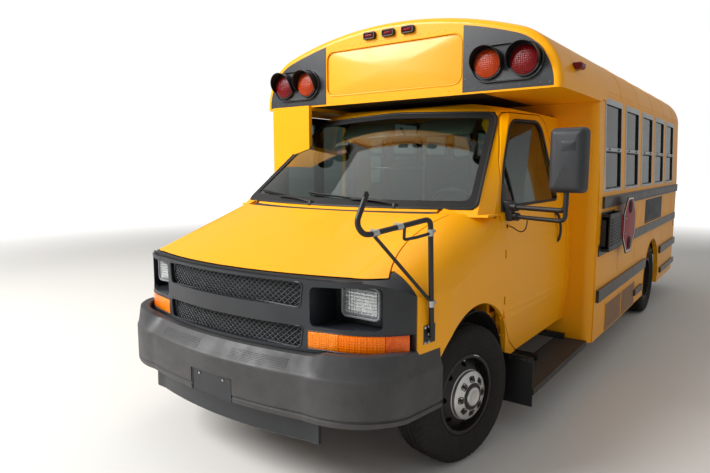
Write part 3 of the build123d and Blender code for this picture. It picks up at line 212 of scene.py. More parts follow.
class Plane(Enum):
    """Which way a flat ring faces: the map from its (u, v, w) to (x, y, z)."""

    FRONT = ((1, 0, 0), (0, 0, 1), (0, -1, 0))
    BACK = ((-1, 0, 0), (0, 0, 1), (0, 1, 0))
    LEFT = ((0, 1, 0), (0, 0, 1), (1, 0, 0))
    TOP = ((1, 0, 0), (0, 1, 0), (0, 0, 1))
    BELOW = ((-1, 0, 0), (0, 1, 0), (0, 0, -1))


def facing(plane: Plane, rings: Array, at: Point) -> Array:
    """Rings in (u, v, w), w being the way out, put into the bus's x, y and z about a point."""
    return rings @ np.array(plane.value, float) + np.array(at, float)


def turned_profile(profile: list[Pair], plane: Plane, at: Point = ORIGIN, sides: int = 32) -> Surface:
    """A turned shape: each (height, radius) of the profile makes a circle about the plane's way out."""
    height, radius = np.array(profile, float).T[:, :, None, None]
    high = np.broadcast_to(height, (len(profile), sides, 1))
    rings = np.concatenate([radius * circle(1.0, sides), high], -1)
    return stack(facing(plane, rings, at))


def path_frames(path: Array, up: Array) -> tuple[Array, Array]:
    """Two unit directions across a path at each point: side = tangent x up, and lift = side x tangent."""
    tangent = np.gradient(path, axis=0)
    tangent /= np.linalg.norm(tangent, axis=1, keepdims=True)
    side = np.cross(tangent, up)
    side /= np.linalg.norm(side, axis=1, keepdims=True)
    return side, np.cross(side, tangent)


def swept(profile: Array, path: Array, u_way: Array, v_way: Array) -> Array:
    """Rings of a profile of (u, v) along a path: point = path + u * u_way + v * v_way."""
    u, v = profile[None, :, 0, None], profile[None, :, 1, None]
    return path[:, None] + u * u_way[:, None] + v * v_way[:, None]


def carried(profile: Array, path: Array, up: Point = (0, 0, 1)) -> Surface:
    """A closed profile carried along a path: point = path + side * u + lift * v.

    Args:
        profile: (n, 2) closed ring.
        path: (m, 3) points.
        up: a direction that is never along the path.

    Returns:
        The closed bar.
    """
    side, lift = path_frames(path, np.array(up, float))
    return stack(swept(profile, path, side, lift)[::-1])


def curved(before: Array, here: Array, after: Array, bend: float, per_bend: int) -> Array:
    """A curve in place of each corner: p = (1-t)^2 a + 2t(1-t) corner + t^2 b.

    Args:
        before: the point before each corner.
        here: the corners.
        after: the point after each corner.
        bend: how far before and after a corner its curve's ends a and b lie, at most.
        per_bend: points on each curve.

    Returns:
        The curves' points, one curve after another.
    """
    back, ahead = before - here, after - here
    long_back, long_ahead = (np.linalg.norm(edge, axis=1, keepdims=True) for edge in (back, ahead))
    reach = np.minimum(bend, 0.48 * np.minimum(long_back, long_ahead))
    a, b = here + back / long_back * reach, here + ahead / long_ahead * reach
    t = np.linspace(0, 1, per_bend)[None, :, None]
    curve = (1 - t) ** 2 * a[:, None] + 2 * t * (1 - t) * here[:, None] + t ** 2 * b[:, None]
    return curve.reshape(-1, here.shape[1])


def eased(points: Array, bend: float, per_bend: int = 7) -> Array:
    """A broken line with its inner corners curved."""
    return np.vstack([points[:1], curved(points[:-2], points[1:-1], points[2:], bend, per_bend), points[-1:]])


def smooth_ring(corners: Array, bend: float, per_bend: int = 6) -> Array:
    """A closed outline with every corner curved."""
    return curved(np.roll(corners, 1, 0), corners, np.roll(corners, -1, 0), bend, per_bend)


def tube(points: list[Point], radius: float, bend: float = 30.0,
         up: Point = (0.31, 0.42, 0.85), sides: int = 14) -> Surface:
    """A round bar along straight runs and curved bends."""
    return carried(circle(radius, sides), eased(np.array(points, float), bend), up)


def place(points: Array) -> Array:
    """Millimetres from the front axle and the bus's middle plane to the frame's metres."""
    return (points - np.array([MID_WIDTH, MID_LENGTH, 0])) / 1000


def drawn_in(ring: Array, inset: float) -> Array:
    """A closed outline moved in by an inset: each corner moves along both its edges' inward normals.

    The move is inset * (n1 + n2) / (1 + n1 . n2), so that both edges end up the inset away.
    """
    ahead = np.roll(ring, -1, 0) - ring
    ahead = ahead / (np.linalg.norm(ahead, axis=1, keepdims=True) + 1e-9)
    back = np.roll(ahead, 1, 0)
    n1, n2 = (np.stack([-edge[:, 1], edge[:, 0]], -1) for edge in (back, ahead))
    return ring + inset * (n1 + n2) / (1 + (n1 * n2).sum(1, keepdims=True))


def raised(ring: Array, steps: list[Pair]) -> Array:
    """(m, n, 3) rings over one outline, one for each (inset, height) step."""
    rings = [np.column_stack([drawn_in(ring, inset), np.full(len(ring), level)]) for inset, level in steps]
    return np.stack(rings)


def boss(ring: Array, steps: list[Pair], plane: Plane, at: Point = ORIGIN) -> Surface:
    """A closed solid that stands on an outline and follows (inset, height) steps outwards.

    Args:
        ring: (n, 2) outline, anticlockwise seen from outside.
        steps: inset and height of each ring, from the foot to the middle of the face.
        plane: the way it faces.
        at: where the outline's origin stands.

    Returns:
        The closed solid.
    """
    return stack(facing(plane, raised(ring, steps), at))


def boxed(width: float, height: float, corner: float, steps: list[Pair], plane: Plane,
          at: Point = ORIGIN) -> Surface:
    """A closed solid through one rounded box for each (inset, height) step, its corners drawn in too."""
    rings = [rounded_box(width - 2 * inset, height - 2 * inset, max(corner - inset, 2.0))
             for inset, _ in steps]
    levels = [np.full(len(rings[0]), level) for _, level in steps]
    return stack(facing(plane, np.stack([np.column_stack(both) for both in zip(rings, levels)]), at))


def plate(width: float, height: float, thick: float, plane: Plane, at: Point,
          corner: float = 6.0, edge: float = 1.5) -> Surface:
    """A flat plate with rounded corners and an eased outer edge."""
    ring = rounded_box(width, height, corner, 4)
    return boss(ring, [(0, 0), (0, thick - edge), (edge * 0.3, thick - edge * 0.3), (edge, thick)], plane, at)


def arc_bar(profile: Array, angles: Array, plane: Plane, at: Point = ORIGIN) -> Surface:
    """A profile of (radius, height) swept round an arc: point = (r cos a, r sin a, h).

    Args:
        profile: (n, 2) closed ring, or (m, n, 2) with one ring for each angle.
        angles: (m,) angles in radians, anticlockwise from the plane's u.
        plane: the way that heights go.
        at: the arc's centre.

    Returns:
        The closed bar.
    """
    shape = np.broadcast_to(profile, (len(angles), *profile.shape[-2:]))
    radius, height = shape[..., 0], shape[..., 1]
    rings = np.stack([radius * np.cos(angles)[:, None], radius * np.sin(angles)[:, None], height], -1)
    return stack(facing(plane, rings[::-1], at))


def hoop(path: Array, out: Array | Point, profile: Array) -> Surface:
    """A closed bar round a closed path: point = path + out * u + across * v, across = tangent x out."""
    out = np.broadcast_to(np.array(out, float), path.shape)
    tangent = np.roll(path, -1, 0) - np.roll(path, 1, 0)
    across = np.cross(tangent, out)
    across /= np.linalg.norm(across, axis=1, keepdims=True)
    return grid(swept(profile, path, out, across)[:, ::-1], close_u=True, close_v=True)


def bead(ring: Array, profile: Array, plane: Plane, at: Point = ORIGIN, level: float = 0.0) -> Surface:
    """A closed profile carried round a flat outline that lies a level out from its plane."""
    path = facing(plane, np.column_stack([ring, np.full(len(ring), level)]), at)
    return hoop(path, plane.value[2], profile)


def arc_through(a: Pair, b: Pair, c: Pair, count: int = 24) -> Array:
    """(count, 2) points on the circle through three points, at equal turns from a to c.

    The centre solves 2 (b - a) . m = b.b - a.a and 2 (c - a) . m = c.c - a.a.
    """
    p, q, r = (np.array(v, float) for v in (a, b, c))
    centre = np.linalg.solve(2 * np.stack([q - p, r - p]), np.array([q @ q - p @ p, r @ r - p @ p]))
    angle = np.unwrap([np.arctan2(*(v - centre)[::-1]) for v in (p, q, r)])
    turn = np.linspace(angle[0], angle[2], count)
    return centre + np.linalg.norm(p - centre) * unit(turn)


@dataclass(frozen=True)
class PlanLine:
    """A line seen from above, alike on both sides of the bus, measured by its length from the middle."""

    points: Array                 # (k, 2) from the middle out to the driver's side

    def lengths(self) -> Array:
        """The length up to each point."""
        return np.concatenate([[0.0], np.cumsum(np.linalg.norm(np.diff(self.points, axis=0), axis=1))])

    def length_at(self, x: float) -> float:
        """The length from the middle to the place where the line is x to the side."""
        return float(np.interp(x, self.points[:, 0], self.lengths()))

    def at(self, s: Array, out: Array) -> tuple[Array, Array]:
        """The x and y at a signed length along the line and a distance out from it."""
        length = self.lengths()
        slope = np.gradient(self.points, length, axis=0)
        x, y, tx, ty = (np.interp(np.abs(s), length, v) for v in (*self.points.T, *slope.T))
        size = np.hypot(tx, ty)
        return np.sign(s) * (x + ty / size * out), y - tx / size * out

    def wrap(self, rings: Array) -> Array:
        """Rings in (length, height, out) bent round the line."""
        x, y = self.at(rings[..., 0], rings[..., 2])
        return np.stack([x, y, rings[..., 1]], -1)

    def out(self, s: Array) -> Array:
        """The direction straight out of the line at each length."""
        near, far = (np.stack(self.at(s, np.full_like(s, d)), -1) for d in (0.0, 1.0))
        return np.column_stack([far - near, np.zeros(len(s))])

    def run(self, profile: Array, s: Array, rise: Array | float = 0.0) -> Surface:
        """A profile of (out, height) carried along the line, lifted by a rise at each length."""
        rings = np.stack([
            np.broadcast_to(s[:, None], (len(s), profile.shape[-2])),
            profile[..., 1] + np.broadcast_to(rise, (len(s),))[:, None],
            np.broadcast_to(profile[..., 0], (len(s), profile.shape[-2])),
        ], -1)
        return stack(self.wrap(rings)[::-1])


def half_line(points: Array) -> PlanLine:
    """The half of a line that lies on the driver's side, starting at the middle."""
    kept = points[points[:, 0] > 1.0]
    first = np.array([[0.0, float(np.interp(0.0, points[:, 0], points[:, 1]))]])
    return PlanLine(np.vstack([first, kept]))


NOSE = half_line(np.vstack([
    arc_through((-620, -772), (0, -856), (620, -772), 60),
    arc_through((620, -772), (860, -665), (962, -540), 24)[1:],
    [[1000, -300], [1006, 345]],
]))
BUMPER = half_line(np.vstack([
    arc_through((-560, -893), (0, -951), (560, -893), 60),
    arc_through((560, -893), (850, -798), (968, -640), 24)[1:],
    [[1004, -385]],
]))


def divided(ring: Array, step: float, like: Array | None = None) -> Array:
    """A closed outline with its edges cut evenly into runs of a step, or as another outline's would be."""
    ahead = np.roll(ring, -1, 0) - ring
    guide = ahead if like is None else np.roll(like, -1, 0) - like
    counts = np.maximum(1, np.ceil(np.linalg.norm(guide, axis=1) / step)).astype(int)
    index = np.repeat(np.arange(len(ring)), counts)
    first = np.repeat(np.cumsum(counts) - counts, counts)
    part = (np.arange(len(index)) - first) / counts[index]
    return ring[index] + ahead[index] * part[:, None]


def cab_side(z: Array) -> Array:
    """How far out the cab's side is at a height: a shallow bulge, then leaning in to the belt."""
    return np.minimum(1000.0, np.interp(z, [425, 700, 800, 900, 1010, 1120, 1312],
                                        [962.0, 1002, 1005, 1006, 1003, 998, 968]))


def glasshouse(y: Array, z: Array, out: float = 0.0) -> Array:
    """Points on the cab's side above the belt, which leans in and narrows forward along the pillar."""
    up = (z - BELT_Z) / 623.0
    foot_x, foot_y = 958.0 - 172.0 * up, 290.0 + 615.0 * up
    turn_x, turn_y = 968.0 - 106.0 * up, 710.0 + 470.0 * up
    ahead = foot_x + (y - foot_y) / (turn_y - foot_y) * (turn_x - foot_x)
    behind = turn_x + (y - turn_y) / (1620.0 - turn_y) * (968.0 - 96.0 * up - turn_x)
    x = np.where(y < turn_y, ahead, behind) + out
    return np.stack([x, y, z], -1)


def side_x(z: Array | float) -> Array:
    """How far out the bus body's side is at a height: upright to the sill, then leaning in."""
    return np.interp(z, [SILL_Z, 2091.3], [BODY_X, 1158.1])


def screen_point(x: Array, z: Array, out: float = 0.0) -> Array:
    """Points on the bowed windscreen: y = (z - foot) / slope + R - sqrt(R^2 - x^2), moved out in front."""
    y = (z - SCREEN_FOOT_Z) / SCREEN_SLOPE + SCREEN_BOW_R - np.sqrt(SCREEN_BOW_R ** 2 - x ** 2)
    return np.stack([x, y + out * SCREEN_OUT[1], z + out * SCREEN_OUT[2]], -1)


def rivet(plane: Plane, radius: float = 5.5, rise: float = 2.5) -> Surface:
    """One domed rivet head at the origin."""
    return turned_profile([[0, radius], [rise * 0.7, radius * 0.8], [rise, radius * 0.35]], plane, sides=8)


def row(start: Point, end: Point, pitch: float) -> Array:
    """Places in a straight row, as near to the pitch as fits evenly."""
    a, b = np.array(start, float), np.array(end, float)
    count = max(2, int(round(float(np.linalg.norm(b - a)) / pitch)) + 1)
    return a + (b - a) * np.linspace(0, 1, count)[:, None]


def both_sides(surface: Surface) -> Surface:
    """A surface with its mirror image on the other side of the bus."""
    return surface + surface.mirrored()


def joined(shapes: Iterable[Surface]) -> Surface:
    """Several surfaces as one, in their order."""
    return reduce(Surface.__add__, shapes)


# Materials

def linear(code: str) -> tuple[float, float, float, float]:
    """A colour written as sRGB hex, in linear light."""
    parts = np.array([int(code[k:k + 2], 16) for k in (1, 3, 5)]) / 255
    value = np.where(parts <= 0.04045, parts / 12.92, ((parts + 0.055) / 1.055) ** 2.4)
    return (*(float(v) for v in value), 1.0)


def add(tree: Tree, kind: str, links: dict | None = None, inputs: dict | None = None,
        **settings: object) -> Node:
    """Adds a node with its settings, values and links.

    Args:
        tree: the material's nodes.
        kind: the node's type without its ShaderNode prefix.
        links: input name or number to the output socket that feeds it.
        inputs: input name or number to its value.
        settings: the node's own properties.

    Returns:
        The new node.
    """
    made = tree.nodes.new("ShaderNode" + kind)
    for key, value in settings.items():
        setattr(made, key, value)
    for key, value in (inputs or {}).items():
        made.inputs[key].default_value = value
    for key, socket in (links or {}).items():
        tree.links.new(socket, made.inputs[key])
    return made


@dataclass(frozen=True)
class Finish:
    """What every finish has: its name, colour, gloss and the size of its patterns in millimetres."""

    name: str
    tone: str
    rough: float = 0.4
    metal: float = 0.0
    ior: float = 1.5
    coat: float = 0.0
    coat_rough: float = 0.1
    specular: float = 0.5
    patch_mm: float = 400.0       # size of the broad patches of fading
    patch: float = 0.08           # how much darker and lighter the patches go
    patch_tone: str = ""          # what the patches go towards, or empty for a darker self
    grain_mm: float = 1.2         # size of the fine surface grain
    grain: float = 0.05           # bump depth in millimetres
    rough_swing: float = 0.08     # how much the gloss varies over the patches
    dust: float = 0.0             # pale dust that gathers low down
    dust_tone: str = "#8d8271"
    see_through: float = 0.0
    glow: float = 0.0

    def base(self, tree: Tree, where: Socket) -> Socket:
        """The finish's colour: its tone with broad patches, and dust below knee height."""
        noise = add(tree, "TexNoise", {"Vector": where}, {"Scale": 1000 / self.patch_mm, "Detail": 5.0,
                                                          "Roughness": 0.6})
        level = add(tree, "MapRange", {"Value": noise.outputs["Fac"]},
                    {"From Min": 0.35, "From Max": 0.7, "To Min": 0.0, "To Max": 1.0})
        own_dark = (*(part * 0.55 for part in linear(self.tone)[:3]), 1.0)
        dark = linear(self.patch_tone) if self.patch_tone else own_dark
        amount = add(tree, "Math", {0: level.outputs[0]}, {1: self.patch}, operation="MULTIPLY")
        mixed = add(tree, "Mix", {"Factor": amount.outputs[0]}, {"A": linear(self.tone), "B": dark},
                    data_type="RGBA")
        out = mixed.outputs["Result"]
        if self.dust:
            split = add(tree, "SeparateXYZ", {"Vector": where})
            low = add(tree, "MapRange", {"Value": split.outputs["Z"]},
                      {"From Min": 1.0, "From Max": 0.2, "To Min": 0.0, "To Max": self.dust})
            specks = add(tree, "TexNoise", {"Vector": where},
                         {"Scale": 22.0, "Detail": 6.0, "Roughness": 0.7})
            much = add(tree, "Math", {0: low.outputs[0], 1: specks.outputs["Fac"]}, operation="MULTIPLY",
                       use_clamp=True)
            dusty = add(tree, "Mix", {"Factor": much.outputs[0], "A": out}, {"B": linear(self.dust_tone)},
                        data_type="RGBA")
            out = dusty.outputs["Result"]
        return out

    def bump(self, tree: Tree, where: Socket) -> Socket:
        """The finish's fine relief: noise at the grain's size."""
        noise = add(tree, "TexNoise", {"Vector": where}, {"Scale": 1000 / self.grain_mm, "Detail": 3.0})
        made = add(tree, "Bump", {"Height": noise.outputs["Fac"]},
                   {"Strength": 1.0, "Distance": self.grain / 1000})
        return made.outputs["Normal"]

    def where(self, tree: Tree) -> Socket:
        """The place that patterns are read at: the piece's own metres."""
        return add(tree, "TexCoord").outputs["Object"]

    def material(self) -> bpy.types.Material:
        """The finish as a material, made once."""
        found = bpy.data.materials.get(self.name)
        if found:
            return found
        made = bpy.data.materials.new(self.name)
        made.use_nodes = True
        tree = made.node_tree
        tree.nodes.clear()
        where = self.where(tree)
        shader = add(tree, "BsdfPrincipled", inputs={
            "Metallic": self.metal, "IOR": self.ior, "Coat Weight": self.coat,
            "Coat Roughness": self.coat_rough, "Specular IOR Level": self.specular,
            "Transmission Weight": self.see_through,
        })
        colour = self.base(tree, where)
        tree.links.new(colour, shader.inputs["Base Color"])
        spread = add(tree, "TexNoise", {"Vector": where}, {"Scale": 2200 / self.patch_mm, "Detail": 4.0})
        gloss = add(tree, "MapRange", {"Value": spread.outputs["Fac"]},
                    {"From Min": 0.3, "From Max": 0.7, "To Min": self.rough - self.rough_swing / 2,
                     "To Max": self.rough + self.rough_swing / 2})
        tree.links.new(gloss.outputs[0], shader.inputs["Roughness"])
        if self.grain:
            tree.links.new(self.bump(tree, where), shader.inputs["Normal"])
        if self.glow:
            shader.inputs["Emission Strength"].default_value = self.glow
            shader.inputs["Emission Color"].default_value = linear(self.tone)
        self.finish_up(tree, shader, where)
        out = add(tree, "OutputMaterial", {"Surface": shader.outputs[0]})
        out.is_active_output = True
        made.diffuse_color = linear(self.tone)
        return made

    def finish_up(self, tree: Tree, shader: Node, where: Socket) -> None:
        """A place for a kind of finish to add its own touches."""


@dataclass(frozen=True)
class LensFinish(Finish):
    """A moulded lens, pressed in small facets: a cell pattern gives each facet its own tilt."""

    facet_mm: float = 12.0
    facet_rise_mm: float = 3.0

    def bump(self, tree: Tree, where: Socket) -> Socket:
        """The facets: the distance to the nearest cell's middle, raised by the facets' rise."""
        cells = add(tree, "TexVoronoi", {"Vector": where},
                    {"Scale": 1000 / self.facet_mm, "Randomness": 0.15})
        made = add(tree, "Bump", {"Height": cells.outputs["Distance"]}, 
                   {"Strength": 1.0, "Distance": self.facet_rise_mm / 1000})
        return made.outputs["Normal"]


@dataclass(frozen=True)
class FloorFinish(Finish):
    """The studio floor: it fades into the pale backdrop with distance, for the camera's rays alone."""

    fade_m: Pair = (7.0, 16.0)

    def finish_up(self, tree: Tree, shader: Node, where: Socket) -> None:
        """Lets the far floor glow like the backdrop: strength = smooth step of distance, seen rays only."""
        far = add(tree, "VectorMath", {0: where}, operation="LENGTH")
        fade = add(tree, "MapRange", {"Value": far.outputs["Value"]},
                   {"From Min": self.fade_m[0], "From Max": self.fade_m[1]}, interpolation_type="SMOOTHSTEP")
        seen = add(tree, "LightPath")
        level = add(tree, "Math", {0: fade.outputs[0], 1: seen.outputs["Is Camera Ray"]},
                    operation="MULTIPLY")
        tree.links.new(level.outputs[0], shader.inputs["Emission Strength"])
        shader.inputs["Emission Color"].default_value = (1.0, 1.0, 1.0, 1.0)


# Each finish below is named for the real material and how its surface was made.

# Sprayed enamel over steel: deep colour under a clear gloss, slightly uneven like orange peel.
YELLOW = Finish("bus_yellow_enamel", "#f6a700", rough=0.36, coat=0.12, coat_rough=0.1, specular=0.22,
                patch_mm=900, patch=0.12, patch_tone="#e59200", grain_mm=3.0, grain=0.008, dust=0.05)
# Black enamel on pressed steel rails and lamp panels, greyed by weather.
BLACK_ENAMEL = Finish("black_enamel", "#17181a", rough=0.38, coat=0.25, patch_mm=300, patch=0.35,
                      patch_tone="#2c2d30", grain_mm=2, grain=0.03, dust=0.15)
# Injection-moulded polypropylene bumper, grained, bleached grey by the sun in patches.
BUMPER_PLASTIC = Finish("grained_polypropylene", "#26272a", rough=0.55, patch_mm=260, patch=0.8,
                        patch_tone="#3b3c40", grain_mm=1.6, grain=0.12, rough_swing=0.18, dust=0.25)
# ABS grille surround, smoother and darker than the bumper.
FASCIA_PLASTIC = Finish("moulded_abs", "#1d1f23", rough=0.4, patch_mm=220, patch=0.5, patch_tone="#2d3036",
                        grain_mm=1.2, grain=0.05)
# Black satin powder coat on brackets and frames.
SATIN_BLACK = Finish("satin_powder_coat", "#101113", rough=0.45, grain_mm=1.5, grain=0.05)
# Float glass with a faint green tint.
GLASS = Finish("float_glass", "#a3b8b0", rough=0.02, ior=1.5, see_through=1.0, grain=0.0, patch=0.0,
               rough_swing=0.0)
# Amber acrylic, pressed in facets.
AMBER = LensFinish("amber_acrylic", "#f07200", rough=0.18, coat=0.12, specular=0.3, patch=0.2,
                   patch_tone="#d85200", patch_mm=40, glow=0.08)
# The same acrylic, dark over an unlit bowl in the warning lamps.
AMBER_DEEP = LensFinish("amber_acrylic_unlit", "#a23406", rough=0.22, coat=0.08, specular=0.2, patch=0.4,
                        patch_tone="#6a1c04", patch_mm=45)
# Red acrylic, pressed in facets.
RED = LensFinish("red_acrylic", "#6e060c", rough=0.22, coat=0.08, specular=0.2, patch=0.4,
                 patch_tone="#3a0205", patch_mm=40)
# Clear glass lens over a bright bowl.
CLEAR_LENS = LensFinish("pressed_clear_glass", "#b9bcbd", rough=0.12, metal=0.6, patch=0.4,
                        patch_tone="#62666a", patch_mm=18, facet_mm=14)
# Vulcanised rubber, carbon black, dusty on the shoulders.
TYRE = Finish("vulcanised_rubber", "#121212", rough=0.78, specular=0.22, patch_mm=120, patch=0.5,
              patch_tone="#1f1d1b", grain_mm=2.0, grain=0.12, dust=0.22, dust_tone="#5d564b")
# Black EPDM window rubber.
SEAL = Finish("epdm_rubber", "#0f0f10", rough=0.6, grain_mm=1.0, grain=0.04)
# Bright pressed aluminium.
ALUMINIUM = Finish("rolled_aluminium", "#c4c6c8", rough=0.34, metal=1.0, patch=0.25, patch_mm=90,
                   grain_mm=0.8, grain=0.02)
# Zinc-plated steel on clamps and bolts.
ZINC = Finish("zinc_plated_steel", "#b5b7b8", rough=0.38, metal=1.0, patch=0.4, patch_mm=30, grain_mm=1.0)
# Stainless wheel cover, gone slightly milky.
HUB_COVER = Finish("pressed_stainless_steel", "#cfcfcd", rough=0.36, metal=0.85, patch=0.25, patch_mm=60,
                   patch_tone="#9d9a92", grain_mm=1.0, grain=0.02)
# Chassis paint, thick and matt.
CHASSIS_PAINT = Finish("chassis_paint", "#18191a", rough=0.6, patch=0.6, patch_mm=180, patch_tone="#2f2c28",
                       grain_mm=3, grain=0.15, dust=0.5, dust_tone="#5d5548")
# Grey cast iron with a thin brown bloom.
CAST_IRON = Finish("grey_cast_iron", "#3a3733", rough=0.68, metal=0.6, patch=0.6, patch_mm=70,
                   patch_tone="#4d3a2b", grain_mm=2.5, grain=0.25)
# Black wheel enamel.
WHEEL_PAINT = Finish("wheel_enamel", "#0c0d10", rough=0.5, coat=0.08, specular=0.3, patch=0.4, patch_mm=120,
                     patch_tone="#17171a", grain_mm=2, grain=0.04, dust=0.12)
# Seat vinyl, dark green and grained like leather.
SEAT_VINYL = Finish("seat_vinyl", "#2a3f35", rough=0.48, patch=0.3, patch_mm=200, grain_mm=3.0, grain=0.25)
# Ribbed rubber flooring.
FLOOR_RUBBER = Finish("floor_rubber", "#1d1d1d", rough=0.65, patch=0.4, patch_mm=200, patch_tone="#35322e",
                      grain_mm=3, grain=0.1)
# Grey moulded vinyl of the dash.
DASH_PLASTIC = Finish("grained_dash_vinyl", "#4a4c4e", rough=0.55, patch=0.15, grain_mm=2.0, grain=0.12)
# Reflective red sheeting on the stop sign.
SIGN_RED = Finish("red_reflective_sheeting", "#8e0c15", rough=0.42, coat=0.1, specular=0.3, patch=0.15,
                  patch_mm=60)
# White reflective sheeting on the sign's border.
SIGN_WHITE = Finish("white_reflective_sheeting", "#e2e0dc", rough=0.35, coat=0.3, patch=0.1, patch_mm=60)
# Black enamel on the lamp panels, glossy enough to show their pressed edges.
LAMP_PANEL = Finish("black_panel_enamel", "#1b1d20", rough=0.36, coat=0.3, patch_mm=350, patch=0.5,
                    patch_tone="#303338", grain_mm=2, grain=0.03)
# Yellow reflective sheeting, a touch flatter than the enamel.
SIGN_YELLOW = Finish("yellow_reflective_sheeting", "#f3a610", rough=0.42, coat=0.12, patch=0.06,
                     patch_mm=500, patch_tone="#e79a0a")
# Grey nylon mesh of the grille.
MESH_GREY = Finish("moulded_nylon_mesh", "#6b6e72", rough=0.5, patch=0.3, patch_mm=90, patch_tone="#3a3c40")
# Grey moulded rim of the headlamp.
LAMP_RIM = Finish("painted_lamp_rim", "#8d9093", rough=0.4, metal=0.3, patch=0.3, patch_mm=50,
                  patch_tone="#5b5d60")
# Amber acrylic lit through by its pale housing.
AMBER_PALE = LensFinish("amber_acrylic_over_white", "#f88410", rough=0.16, coat=0.15, specular=0.3,
                        patch=0.25, patch_tone="#f0701a", patch_mm=60, facet_mm=9)
# Amber acrylic over the bright bowl of the bulb.
AMBER_BOWL = LensFinish("amber_acrylic_over_bowl", "#ea5806", rough=0.14, coat=0.15, specular=0.3, patch=0.5,
                        patch_tone="#ff8a3a", patch_mm=26, facet_mm=7)
# Deep black plastic behind openings.
DEEP_BLACK = Finish("unpainted_plenum_black", "#070708", rough=0.7, patch=0.0, grain=0.0)
# Moulded plenum panel in front of the glass, gone grey in the sun.
COWL_PLASTIC = Finish("moulded_cowl_plastic", "#2a2c30", rough=0.52, patch=0.5, patch_mm=160,
                      patch_tone="#44474c", grain_mm=1.5, grain=0.06)
# Pale vinyl over the sun visors' foam.
HEADLINER = Finish("foam_backed_vinyl", "#a9a69c", rough=0.7, patch=0.15, patch_mm=150, grain_mm=2.0,
                   grain=0.15)
# Grained black housing of the big mirror.
MIRROR_PLASTIC = Finish("grained_mirror_housing", "#232528", rough=0.5, patch=0.3, patch_mm=120,
                        patch_tone="#33363a", grain_mm=1.2, grain=0.08)
# Silvered mirror glass.
MIRROR_GLASS = Finish("silvered_glass", "#e6e9ea", rough=0.03, metal=1.0, patch=0.05, grain=0.0,
                      rough_swing=0.0)
# Orange reflector, moulded in small prisms.
REFLECTOR = LensFinish("moulded_reflector", "#d8490f", rough=0.15, coat=0.5, patch=0.1, patch_mm=20,
                       facet_mm=4)
# Pale tempered side glass, lightly tinted and dusty.
SIDE_GLASS = Finish("tempered_side_glass", "#7f8a88", rough=0.05, ior=1.5, see_through=1.0, grain=0.0,
                    patch=0.0, rough_swing=0.0)
# Brownish ribbed vent panels, faded enamel under road dirt.
BROWN_VENT = Finish("faded_vent_enamel", "#8a5a1c", rough=0.5, patch=0.5, patch_mm=120, patch_tone="#5f4320",
                    dust=0.3)
# Grey primer rolled over an old panel.
PATCH_GREY = Finish("rolled_grey_primer", "#3b3f45", rough=0.6, patch=0.5, patch_mm=220,
                    patch_tone="#2b2e33")

CAD_FINISHES: dict[Finish, str] = {
    CHASSIS_PAINT: "frame_rails crossmembers fuel_tank rear_axle front_suspension",
    CAST_IRON: "engine exhaust knuckle_left knuckle_right",
    TYRE: "tyre_front_left tyre_front_right tyres_rear_left tyres_rear_right",
    WHEEL_PAINT: "wheel_front_left wheel_front_right wheels_rear_left wheels_rear_right",
    YELLOW: "cab_shell driver_door hood fenders left_side right_side roof front_wall front_cap "
            "rear_wall emergency_door entry_surround",
    GLASS: "windshield driver_door_glass",
    FASCIA_PLASTIC: "cowl fascia",
    DEEP_BLACK: "grille",
    CLEAR_LENS: "headlamps",
    BUMPER_PLASTIC: "front_bumper air_dam",
    FLOOR_RUBBER: "body_floor entry_steps",
    SATIN_BLACK: "window_frames entry_leaf_front entry_leaf_rear stop_arm_housing mirror_left "
                 "mirror_bracket running_board",
    SIDE_GLASS: "window_glass emergency_door_glass entry_glass_front entry_glass_rear",
    BLACK_ENAMEL: "rub_rails rear_bumper",
    RED: "warning_lamps",
    SIGN_RED: "stop_sign",
    DASH_PLASTIC: "dashboard",
    SEAT_VINYL: "seats",
    SEAL: "mirror_cable",
}


def piece(name: str, surface: Surface, finish: Finish, body: Body = Body.CHASSIS,
          sharp: float = 38.0) -> bpy.types.Object:
    """Makes a surface an object of the scene, riding on a body.

    Args:
        name: the piece's plain name.
        surface: its points in millimetres, and its faces.
        finish: its material.
        body: the CAD body that it rides on.
        sharp: edges that turn by more than this stay sharp, in degrees.

    Returns:
        The new object.
    """
    mesh = bpy.data.meshes.new(name)
    faces = [*surface.quads.tolist(), *surface.tris.tolist()]
    mesh.from_pydata(place(surface.points), [], faces)
    mesh.validate()
    mesh.shade_smooth()
    mesh.set_sharp_from_angle(angle=radians(sharp))
    mesh.materials.append(finish.material())
    made = bpy.data.objects.new(name, mesh)
    bpy.context.scene.collection.objects.link(made)
    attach(made, body.value)
    LOG.info("%s: %d faces on %s", name, len(faces), body.value)
    return made


